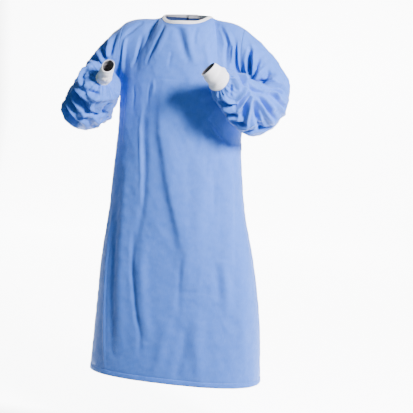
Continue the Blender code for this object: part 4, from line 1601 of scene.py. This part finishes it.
@dataclass
class NeckBinding:
    """The white tape round the neckline, from one edge of the back opening to the other."""

    name: str = "neck_binding"
    height: float = 0.0115
    thickness: float = 0.0022
    rows: int = 9
    stitched_row: int = -3
    swell: float = 0.0006
    pull: float = 0.0004
    flat: tuple[float, float] = (0.62, 0.016)

    def build(self, panels: Sequence[tuple[Panel, int]], tape: bpy.types.Material,
              stitches: Stitching) -> bpy.types.Object:
        """Shape the band and make the piece.

        Args:
            panels: The panels along the neckline, each with the order of its columns.
            tape: The material.
            stitches: The stitching that gets the line along the band's lower edge.

        Returns:
            The piece.
        """
        parts = zip(*(panel.neck_edge(order) for panel, order in panels))
        bottom, rising, outward = (np.concatenate(part) for part in parts)
        keep = np.append(np.linalg.norm(np.diff(bottom, axis=0), axis=1) > 1e-4, True)
        bottom, rising, outward = bottom[keep], rising[keep], outward[keep]
        share = np.linspace(1, 0, self.rows)[:, None, None]
        bulge = self.swell * np.sin(math.pi * np.clip(share, 0, 1)) ** 0.5
        pulled = self.pull * np.sin(np.arange(len(bottom)) * 1.7)[None, :, None] * (1 - share)
        grid = bottom + rising * (self.height + SEAM) * share + rising * SEAM
        grid = grid + outward * ((self.thickness - CLOTH) / 2 + bulge + pulled)
        normals = np.broadcast_to(outward, grid.shape).copy()
        stitches.along(grid[self.stitched_row], normals[self.stitched_row])
        shell = Shell(self.name + "_cloth", grid, normals, self.thickness, tape)
        return shell.dress(self.name, BOUND, self.flat, "gathered", "front_cloth")


@dataclass(frozen=True)
class TieEnd:
    """How one loose end hangs: places are across the back, from 1 at the left to -1."""

    name: str
    start: float
    end: float
    over: float
    swing: float


@dataclass(frozen=True)
class KnotPart:
    """One tape of the knot: half its width, its half depth and height, slant and cut length."""

    name: str
    half: float
    deep: float
    tall: float
    tilt: float
    cut_length: float
    node: str | None = None

    def swell(self, along: Points, turn: Points) -> Points:
        """How much thicker it is than a plain tube: a pleated core, or a wrap in three soft folds.

        Args:
            along: Places along it, from -1 to 1.
            turn: Angles round it.

        Returns:
            One factor for each point.
        """
        if self.node:
            return (1 + 0.35 * along**2) * (1 + 0.07 * np.sin(7 * turn + 2.0 * along))
        folds = 1 + 0.035 * np.cos(along * 3 * math.pi) + 0.02 * np.sin(3 * turn)
        return (1 - 0.22 * np.abs(along) ** 3) * folds


@dataclass
class WaistTies:
    """The two tapes sewn in at the side seams and tied at the middle of the back."""

    backs: list[BVHTree]
    cloth: bpy.types.Material
    stitches: Stitching
    width: float = 0.024
    cut_width: float = 0.030
    thickness: float = 0.0008
    clear: float = 0.0008
    waist: float = BODY.waist
    knot_x: float = -0.021
    strap_end: float = 0.0090
    knot_half: float = 0.0160
    knot_deep: float = 0.0068
    tail_start: float = 0.0084
    tail_length: float = 0.260
    half_back: float = 0.32
    sag: float = 0.0035
    sway: float = 0.020
    strap_pinch: float = 0.48
    tail_pinch: float = 0.50
    strap_pleat: float = 0.0011
    tail_pleat: float = 0.0009
    hollow: float = 0.0007
    across: int = 11
    step: float = 0.003
    smooth: int = 4
    behind: float = 0.10
    search: float = 0.03
    crumple: Crumple = Crumple(size=0.020, height=0.0006, seed=8)
    ends: tuple[TieEnd, ...] = (
        TieEnd("tie_end_left", 0.035, 0.150, 0.0030, 0.0016),
        TieEnd("tie_end_right", -0.030, -0.085, 0.0, -0.0012),
    )
    parts: tuple[KnotPart, ...] = (
        KnotPart("tie_knot_core", 0.0185, 0.0050, 0.0085, -0.10, 0.045, "tie_knot"),
        KnotPart("tie_knot_wrap", 0.0080, 0.0066, 0.0125, 0.26, 0.062),
    )

    def gap(self, spot: Points, normal: Points) -> float:
        """How far the outermost cloth lies over a point.

        Args:
            spot: The point.
            normal: The way in which the distance is measured.

        Returns:
            Metres.
        """
        start, way = Vector(spot + self.search * normal), Vector(-normal)
        hits = [tree.ray_cast(start, way, 2 * self.search)[3] for tree in self.backs]
        return self.search - min((hit for hit in hits if hit is not None), default=self.search)

    def tape(self, node: str, grid: Points, normals: Points, relief: Points,
             under: str) -> bpy.types.Object:
        """Make one length of tape that lies on the back.

        Args:
            node: The node of the frame that it stands for.
            grid: Its points on the back, row by row along it.
            normals: The back's normals there.
            relief: How far each point stands off.
            under: The piece it lies on.

        Returns:
            The piece.
        """
        window = 2 * self.smooth + 1
        lying = np.array([max(map(self.gap, spots, ways)) for spots, ways in zip(grid, normals)])
        padded = np.pad(lying, self.smooth, mode="edge")
        lying = np.array([padded[k:k + window].max() for k in range(len(lying))])
        padded = np.pad(lying, self.smooth, mode="edge")
        lying = np.convolve(padded, np.ones(window) / window, mode="valid")
        height = lying[:, None] + self.clear + self.thickness + relief + self.crumple.lift(grid)
        grid = grid + normals * height[..., None]
        facing = grid_normals(grid)
        facing = facing * np.sign((facing * normals).sum())
        for edge in (1, -2):
            self.stitches.along(grid[:, edge], facing[:, edge])
        length = distances(grid[:, self.across // 2])[-1]
        shell = Shell(node + "_cloth", grid, facing, self.thickness, self.cloth)
        flat = self.cut_width, round(float(length), 3)
        return shell.dress(node, BLUE, flat, "hung", under)

    def strap(self, name: str, side: Side, back: Panel) -> bpy.types.Object:
        """The tape from a side seam to the knot.

        Args:
            name: The node that it stands for.
            side: The side it comes from.
            back: The back panel of that side.

        Returns:
            The piece.
        """
        columns = np.arange(len(back.columns), dtype=float)
        line, _ = back.between(np.full_like(columns, BODY.down_at(self.waist)), columns)
        end = self.knot_x + side.value * self.strap_end
        last = np.interp(-side.value * end, -side.value * line[:, 0], columns)
        share = np.linspace(0, 1, int(self.half_back / self.step))[:, None]
        offset = np.linspace(-0.5, 0.5, self.across)
        pinch = 1 - self.strap_pinch * ease((share - 0.78) / 0.22)
        slack = self.sag * np.sin(math.pi * share) * (1 + 0.5 * np.sin(share * 9 + side.value))
        drop = self.waist + slack + offset * self.width * pinch
        place = np.broadcast_to(share * last, drop.shape)
        grid, normals = back.between(BODY.down_at(drop), place)
        pleats = self.strap_pleat * (1 + np.cos(offset * 5 * math.pi)) * ease((share - 0.66) / 0.34)
        hollow = self.hollow * np.cos(offset * math.pi) * np.sin(math.pi * share)
        return self.tape(name, grid, normals, pleats + hollow, back.name + "_cloth")

    def tail(self, tie: TieEnd) -> bpy.types.Object:
        """A hanging end of a tie.

        Args:
            tie: How it hangs.

        Returns:
            The piece.
        """
        run = self.tail_length - self.tail_start
        share = np.linspace(0, 1, int(run / self.step))[:, None]
        offset = np.linspace(-0.5, 0.5, self.across)
        pinch = 1 - self.tail_pinch * (1 - ease(share / 0.16))
        sway = self.sway * np.sin(share * 7.5 + tie.swing * 400) * share
        middle = tie.start + (tie.end - tie.start) * share + sway
        across = middle + offset * self.width * pinch / self.half_back
        drop = self.waist + self.tail_start + run * share
        grid = BODY.point(across, BODY.down_at(drop), Facing.BACK)
        normals = np.broadcast_to(BACKWARDS, grid.shape)
        turning = abs(tie.swing) + offset * 2 * tie.swing * np.sin(share * 8.5)
        pleats = self.tail_pleat * (1 + np.cos(offset * 5 * math.pi)) * (1 - ease(share / 0.22))
        relief = tie.over + turning * ease(share / 0.25) + pleats
        return self.tape(tie.name, grid, normals, relief, "back_right_cloth")

    def tied(self) -> None:
        """Make the knot: a pleated core with a second tape wrapped round its middle."""
        places = np.linspace(self.knot_x - self.knot_half, self.knot_x + self.knot_half, 9)
        lying = max(self.gap(np.array([x, self.behind, -self.waist]), BACKWARDS) for x in places)
        depth = self.behind + lying + self.clear + self.knot_deep
        centre = np.array([self.knot_x, depth, -self.waist])
        turn = all_round(72)
        along = np.linspace(-1, 1, 25)[:, None]
        rounded = np.cos(turn) * np.abs(np.cos(turn)) ** -0.25
        for part in self.parts:
            swell = part.swell(along, turn)
            grid = centre + np.stack([
                along * part.half + part.tilt * 0.012 * np.sin(turn),
                part.deep * swell * rounded,
                part.tall * swell * np.sin(turn) + part.tilt * along * part.half,
            ], axis=-1)
            normals = grid_normals(grid, wrap=True)
            normals = normals * np.sign(((grid - centre) * normals).sum())
            shell = Shell(part.name, grid, normals, self.thickness, self.cloth, wrap=True)
            flat = 2 * part.half, part.cut_length
            shell.dress(part.node, BLUE, flat, "gathered", "back_right_cloth")

    def build(self, left: Panel, right: Panel) -> None:
        """Make the straps, the knot and the hanging ends.

        Args:
            left: The back panel on the wearer's left.
            right: The one on the wearer's right.
        """
        self.strap("tie_left", Side.LEFT, left)
        self.strap("tie_right", Side.RIGHT, right)
        for tie in self.ends:
            self.tail(tie)
        self.tied()


# Each sleeve point is the place along the sleeve, up to 0.1 in the cap, and the angle in degrees
SLEEVE_LEFT_CREASES = (
    # The upper arm above the crook
    Crease(0.009, 0.0060, ((0.010, 76), (0.013, 95), (0.019, 128))),
    Crease(0.010, -0.0105, ((0.066, 92), (0.036, 108), (0.021, 140))),
    Crease(0.010, 0.0090, ((0.086, 98), (0.064, 114), (0.038, 126), (0.017, 150))),
    Crease(0.008, -0.0060, ((0.092, 98), (0.078, 110), (0.062, 124), (0.050, 140))),
    Crease(0.009, 0.0065, ((0.096, 108), (0.082, 120), (0.072, 140))),
    Crease(0.009, -0.0080, ((0.110, 112), (0.094, 130), (0.084, 144))),
    Crease(0.012, 0.0060, ((0.130, 124), (0.105, 142), (0.090, 160))),
    # Folds that run out of the crook to the outer side
    Crease(0.010, -0.0120, ((0.180, 95), (0.170, 118), (0.150, 140))),
    Crease(0.009, 0.0085, ((0.240, 104), (0.215, 128), (0.190, 150))),
    Crease(0.009, -0.0115, ((0.380, 118), (0.320, 140), (0.285, 166), (0.270, 185))),
    Crease(0.009, 0.0090, ((0.480, 128), (0.400, 150), (0.345, 172), (0.320, 195))),
    Crease(0.008, -0.0090, ((0.700, 172), (0.640, 172), (0.500, 172), (0.420, 186))),
    Crease(0.009, 0.0080, ((0.740, 188), (0.660, 184), (0.540, 178), (0.450, 198))),
    Crease(0.009, -0.0095, ((0.640, 184), (0.548, 188), (0.440, 200), (0.360, 214))),
    Crease(0.010, 0.0070, ((0.560, 196), (0.450, 208), (0.360, 226))),
    # Ridges and troughs that fan down over the elbow
    Crease(0.009, 0.0075, ((0.742, 196), (0.680, 198), (0.600, 202), (0.520, 210))),
    Crease(0.009, -0.0085, ((0.735, 201), (0.650, 206), (0.540, 218), (0.460, 228))),
    Crease(0.010, 0.0105, ((0.744, 204), (0.655, 214), (0.560, 224), (0.440, 238))),
    Crease(0.011, -0.0110, ((0.748, 212), (0.680, 228), (0.600, 240), (0.520, 250))),
    Crease(0.010, 0.0125, ((0.774, 204), (0.772, 222), (0.710, 244), (0.630, 264))),
    Crease(0.010, -0.0105, ((0.796, 208), (0.790, 232), (0.745, 256))),
    # The forearm towards the cuff
    Crease(0.009, 0.0085, ((0.806, 200), (0.816, 226), (0.810, 254))),
    Crease(0.008, -0.0085, ((0.824, 200), (0.842, 228), (0.830, 258))),
    Crease(0.009, 0.0070, ((0.842, 192), (0.856, 214), (0.872, 242))),
    Crease(0.009, 0.0075, ((0.965, 266), (0.900, 256), (0.840, 240))),
    Crease(0.009, -0.0085, ((0.935, 296), (0.888, 266), (0.835, 246))),
    Crease(0.010, 0.0075, ((0.875, 294), (0.830, 272), (0.790, 246))),
    Crease(0.011, -0.0080, ((0.830, 300), (0.790, 276), (0.750, 262))),
    Crease(0.010, 0.0080, ((0.770, 300), (0.752, 270), (0.700, 254))),
    Crease(0.010, -0.0085, ((0.730, 296), (0.702, 272), (0.655, 256))),
    Crease(0.011, 0.0085, ((0.650, 284), (0.632, 262), (0.625, 246), (0.590, 230))),
    Crease(0.012, -0.0070, ((0.600, 278), (0.545, 250), (0.450, 238))),
    Crease(0.010, 0.0060, ((0.990, 170), (0.960, 186), (0.930, 200), (0.895, 216))),
    Crease(0.010, -0.0085, ((0.925, 136), (0.902, 158), (0.885, 178), (0.862, 196))),
    Crease(0.009, 0.0060, ((0.900, 146), (0.855, 170), (0.822, 188))),
    Crease(0.008, -0.0060, ((0.860, 176), (0.800, 190), (0.740, 192), (0.690, 188))),
    Crease(0.007, -0.0040, ((0.996, 196), (0.966, 222), (0.934, 244))),
    Crease(0.012, -0.0080, ((0.100, 92), (0.082, 100), (0.062, 106), (0.046, 112))),
    # Hidden sides: outside, under the elbow and towards the body
    Crease(0.014, -0.0075, ((0.120, 176), (0.170, 200), (0.260, 226), (0.380, 240))),
    Crease(0.014, 0.0075, ((0.080, 196), (0.140, 222), (0.230, 244), (0.340, 256))),
    Crease(0.015, -0.0075, ((0.060, 232), (0.130, 252), (0.250, 266), (0.400, 270))),
    Crease(0.015, 0.0070, ((0.040, 262), (0.130, 276), (0.270, 284), (0.420, 284))),
    Crease(0.013, -0.0065, ((0.180, 300), (0.300, 306), (0.420, 310), (0.560, 306))),
    Crease(0.014, 0.0060, ((0.280, 326), (0.420, 330), (0.580, 324), (0.700, 320))),
    Crease(0.012, -0.0060, ((0.480, 350), (0.620, 345), (0.760, 335))),
    Crease(0.011, 0.0060, ((0.700, 20), (0.800, 5), (0.900, 350))),
)

SLEEVE_RIGHT_CREASES = (
    # The upper arm
    Crease(0.011, -0.0100, ((0.026, 98), (0.016, 120), (0.008, 148))),
    Crease(0.010, 0.0070, ((0.038, 106), (0.028, 130), (0.019, 164))),
    Crease(0.009, 0.0060, ((0.016, 84), (0.009, 112), (0.004, 136))),
    Crease(0.009, -0.0095, ((0.046, 104), (0.043, 126), (0.045, 160))),
    Crease(0.010, 0.0060, ((0.056, 106), (0.053, 130), (0.056, 164))),
    Crease(0.009, -0.0100, ((0.064, 104), (0.062, 126), (0.066, 164))),
    Crease(0.010, 0.0070, ((0.076, 108), (0.072, 132), (0.076, 170))),
    Crease(0.010, -0.0075, ((0.090, 112), (0.092, 136), (0.120, 166))),
    Crease(0.011, 0.0065, ((0.150, 126), (0.170, 150), (0.230, 176))),
    Crease(0.010, -0.0070, ((0.240, 130), (0.270, 156), (0.350, 184))),
    # The cuff's end of the forearm
    Crease(0.008, -0.0070, ((0.960, 176), (0.945, 200), (0.935, 236))),
    Crease(0.008, 0.0065, ((0.930, 172), (0.928, 205), (0.912, 232))),
    Crease(0.008, -0.0075, ((0.962, 292), (0.950, 274), (0.940, 250))),
    Crease(0.008, 0.0070, ((0.926, 298), (0.914, 276), (0.918, 254))),
    # The elbow's bag
    Crease(0.011, 0.0110, ((0.800, 196), (0.816, 210), (0.868, 236), (0.888, 262), (0.870, 282))),
    Crease(0.013, -0.0125, ((0.770, 206), (0.792, 228), (0.806, 254), (0.786, 280), (0.728, 302))),
    Crease(0.011, 0.0075, ((0.730, 204), (0.752, 232), (0.748, 262), (0.715, 290))),
    Crease(0.010, -0.0085, ((0.660, 206), (0.700, 232), (0.694, 258))),
    Crease(0.011, 0.0100, ((0.600, 204), (0.652, 228), (0.662, 252), (0.636, 276))),
    Crease(0.012, -0.0085, ((0.540, 208), (0.605, 232), (0.610, 256), (0.585, 280))),
    Crease(0.012, 0.0090, ((0.470, 208), (0.556, 232), (0.566, 262), (0.540, 286))),
    Crease(0.010, 0.0090, ((0.905, 284), (0.826, 284), (0.742, 300))),
    Crease(0.010, 0.0090, ((0.668, 266), (0.740, 284), (0.718, 306), (0.660, 316))),
    Crease(0.010, -0.0110, ((0.726, 296), (0.728, 320), (0.690, 342))),
    Crease(0.011, 0.0080, ((0.690, 302), (0.630, 322), (0.500, 324))),
    Crease(0.010, -0.0080, ((0.600, 350), (0.604, 328), (0.530, 316))),
    Crease(0.012, 0.0075, ((0.640, 268), (0.632, 290), (0.540, 308))),
    Crease(0.011, -0.0070, ((0.850, 342), (0.780, 330), (0.670, 330))),
    Crease(0.010, 0.0060, ((0.960, 18), (0.920, 352), (0.830, 342))),
    # Hidden sides
    Crease(0.014, -0.0075, ((0.060, 190), (0.130, 210), (0.230, 224), (0.380, 232))),
    Crease(0.014, 0.0075, ((0.040, 220), (0.120, 236), (0.230, 250), (0.380, 256))),
    Crease(0.015, -0.0075, ((0.030, 250), (0.120, 262), (0.250, 272), (0.420, 278))),
    Crease(0.014, 0.0065, ((0.060, 284), (0.160, 292), (0.300, 300), (0.440, 300))),
    Crease(0.013, -0.0065, ((0.150, 320), (0.280, 326), (0.420, 330), (0.520, 336))),
    Crease(0.013, 0.0060, ((0.250, 350), (0.380, 352), (0.520, 356))),
    Crease(0.012, -0.0060, ((0.300, 30), (0.400, 20), (0.560, 14), (0.700, 10))),
    Crease(0.036, 0.0110, ((0.500, 0), (0.680, 8), (0.800, 12), (0.900, 6), (0.980, 356)), SOFT),
)


@dataclass(frozen=True)
class Viewpoint:
    """Where the camera stands and how it looks."""

    azimuth: float = 16.0
    distance: float = 3.2
    height: float = -0.12
    tilt: float = -9.20
    yaw: float = 1.41
    roll: float = 1.5
    lens: float = 82.28
    sensor: float = 36.0

    def make(self) -> None:
        """Place the camera."""
        turn, tilt, roll = (math.radians(v) for v in (self.azimuth, self.tilt, self.roll))
        yaw = math.radians(self.azimuth - self.yaw)
        place = Vector((self.distance * math.sin(turn), -self.distance * math.cos(turn), self.height))
        level = Vector((-math.sin(yaw), math.cos(yaw), 0.0))
        right = Vector((math.cos(yaw), math.sin(yaw), 0.0))
        ahead = level * math.cos(tilt) + Vector((0.0, 0.0, math.sin(tilt)))
        above = right.cross(ahead)
        right, above = (right * math.cos(roll) + above * math.sin(roll),
                        above * math.cos(roll) - right * math.sin(roll))
        data = bpy.data.cameras.new("camera")
        data.lens, data.sensor_width = self.lens, self.sensor
        camera = bpy.data.objects.new("camera", data)
        rows = [[right[k], above[k], -ahead[k], place[k]] for k in range(3)]
        camera.matrix_world = Matrix((*rows, (0.0, 0.0, 0.0, 1.0)))
        bpy.context.scene.collection.objects.link(camera)
        bpy.context.scene.camera = camera


@dataclass(frozen=True)
class Softbox:
    """A square area light that looks at a point of the gown."""

    name: str
    azimuth: float
    elevation: float
    distance: float
    size: float
    power: float
    colour: tuple[float, float, float]
    aim: tuple[float, float, float] = (0.0, -0.05, -0.5)

    def make(self) -> None:
        """Place the light."""
        turn, rise = math.radians(self.azimuth), math.radians(self.elevation)
        back = Vector((math.sin(turn) * math.cos(rise), -math.cos(turn) * math.cos(rise), math.sin(rise)))
        data = bpy.data.lights.new(self.name, "AREA")
        data.shape, data.size = "SQUARE", self.size
        data.energy, data.color = self.power, self.colour
        light = bpy.data.objects.new(self.name, data)
        light.location = Vector(self.aim) + back * self.distance
        light.rotation_euler = (-back).to_track_quat("-Z", "Y").to_euler()
        bpy.context.scene.collection.objects.link(light)


@dataclass(frozen=True)
class Studio:
    """A pale floor that rises into a backdrop, soft lights and the camera."""

    floor: float = -1.45
    half: float = 6.0
    wall: float = 3.4
    bend: float = 1.2
    height: float = 5.0
    colour: Colour = (0.86, 0.87, 0.89, 1.0)
    near: Colour = (0.20, 0.21, 0.23, 1.0)
    grain: float = 0.0002
    glow: float = 8.5
    glow_from: float = -0.2
    glow_half: float = 2.1
    glow_skew: float = 0.25
    sky: Colour = (0.62, 0.92, 1.0, 1.0)
    sky_strength: float = 0.12
    lights: tuple[Softbox, ...] = (
        Softbox("key", 56.0, 28.0, 3.0, 0.60, 345.0, (1.0, 0.94, 0.97)),
        Softbox("fill", -30.0, 10.0, 3.6, 2.2, 9.0, (0.50, 0.90, 0.95)),
        Softbox("front", 14.0, 25.0, 4.2, 2.2, 14.0, (0.80, 0.95, 1.0)),
        Softbox("back", 235.0, 34.0, 3.6, 0.9, 9.0, (0.95, 0.97, 1.0)),
    )

    def backdrop(self) -> bpy.types.Object:
        """Make the floor and the wall in one curved sheet.

        Returns:
            The backdrop.
        """
        turn = np.linspace(0, math.pi / 2, 16)
        run = [(-self.half, 0.0)]
        run += [(self.wall + self.bend * math.sin(a), self.bend * (1 - math.cos(a))) for a in turn]
        run += [(self.wall + self.bend, self.height)]
        verts = [(x, y, self.floor + z) for y, z in run for x in (-1.6 * self.half, 1.6 * self.half)]
        faces = [(2 * k, 2 * k + 1, 2 * k + 3, 2 * k + 2) for k in range(len(run) - 1)]
        mesh = bpy.data.meshes.new("backdrop")
        mesh.from_pydata(verts, [], faces)
        graph = Graph("paper")
        place = graph.place()
        grain = graph.noise(place, 900.0, 3.0)
        parts = graph.node("ShaderNodeSeparateXYZ", {}, {0: place})
        aside = (parts.out(0) + parts.out(1) * self.glow_skew).math("ABSOLUTE")
        behind = ((parts.out(1) - self.glow_from) * 4.0).clamp() * ((self.glow_half - aside) * 3.0).clamp()
        graph.dress(Base_Color=graph.mix(behind, self.near, self.colour), Roughness=0.9,
                    Normal=graph.bump(grain, self.grain))
        graph.dress(Emission_Color=graph.mix(behind, BLACK, WHITE), Emission_Strength=self.glow)
        return new_piece("backdrop", mesh, graph.material)

    def build(self) -> None:
        """Make the whole studio."""
        self.backdrop()
        for light in self.lights:
            light.make()
        world = bpy.data.worlds.new("studio")
        bpy.context.scene.world = world
        world.use_nodes = True
        background = world.node_tree.nodes["Background"]
        background.inputs["Color"].default_value = self.sky
        background.inputs["Strength"].default_value = self.sky_strength
        Viewpoint().make()


def main() -> None:
    """Build the gown piece by piece around the frame."""
    logging.basicConfig(level=logging.INFO, format="%(message)s")
    cloth = Nonwoven().make()
    knit = Knit().make()
    tape = Tape().make()
    blue_thread = Thread("blue_thread", (0.24, 0.38, 0.74, 1.0), (0.13, 0.25, 0.58, 1.0)).make()
    white_thread = Thread("white_thread", (0.88, 0.88, 0.90, 1.0), (0.62, 0.62, 0.66, 1.0)).make()

    front = Panel("front", Facing.FRONT, FRONT_COLUMNS, FRONT_CREASES, (0.78, 1.25), 0.746, Crumple())
    back_left = Panel("back_left", Facing.BACK, back_columns(Side.LEFT), BACK_CREASES, (0.46, 1.26),
                      0.419, Crumple(seed=5))
    back_right = Panel("back_right", Facing.BACK, back_columns(Side.RIGHT), BACK_CREASES,
                       (0.46, 1.26), 0.425, Crumple(seed=6), lap_lift=0.0045)
    for panel in (front, back_left, back_right):
        panel.build()
    left = Sleeve("sleeve_left", LEFT_ARM, SLEEVE_LEFT_CREASES, (0.48, 0.52), 0.186,
                  Crumple(0.040, 0.0026, 7))
    right = Sleeve("sleeve_right", RIGHT_ARM, SLEEVE_RIGHT_CREASES, (0.50, 0.54), 0.200,
                   Crumple(0.040, 0.0026, 9))
    left.build(front, back_left)
    right.build(front, back_right)
    pieces = [panel.dress(cloth) for panel in (front, back_left, back_right)]
    for sleeve in (left, right):
        sleeve.dress(cloth)
    for cuff, sleeve in ((Cuff("cuff_left", LEFT_ARM, (0.20, 0.056), 3), left),
                         (Cuff("cuff_right", RIGHT_ARM, (0.17, 0.072), 4), right)):
        cuff.build(sleeve.grid[-1], knit)

    band_seam = Stitching("binding_stitching", white_thread)
    NeckBinding().build(((back_left, -1), (front, -1), (back_right, 1)), tape, band_seam)
    hem = Stitching("hem_stitching", blue_thread)
    for panel in (front, back_left, back_right):
        hem.along(*panel.hem_line())
    hem.make(BLUE)
    band_seam.make(BOUND)
    trees = [BVHTree.FromPolygons([corner.co for corner in piece.data.vertices],
                                  [face.vertices for face in piece.data.polygons])
             for piece in pieces[1:]]
    tie_seams = Stitching("tie_stitching", blue_thread)
    WaistTies(trees, cloth, tie_seams).build(back_left, back_right)
    tie_seams.make(BLUE)
    Studio().build()


if __name__ == "__main__":
    main()
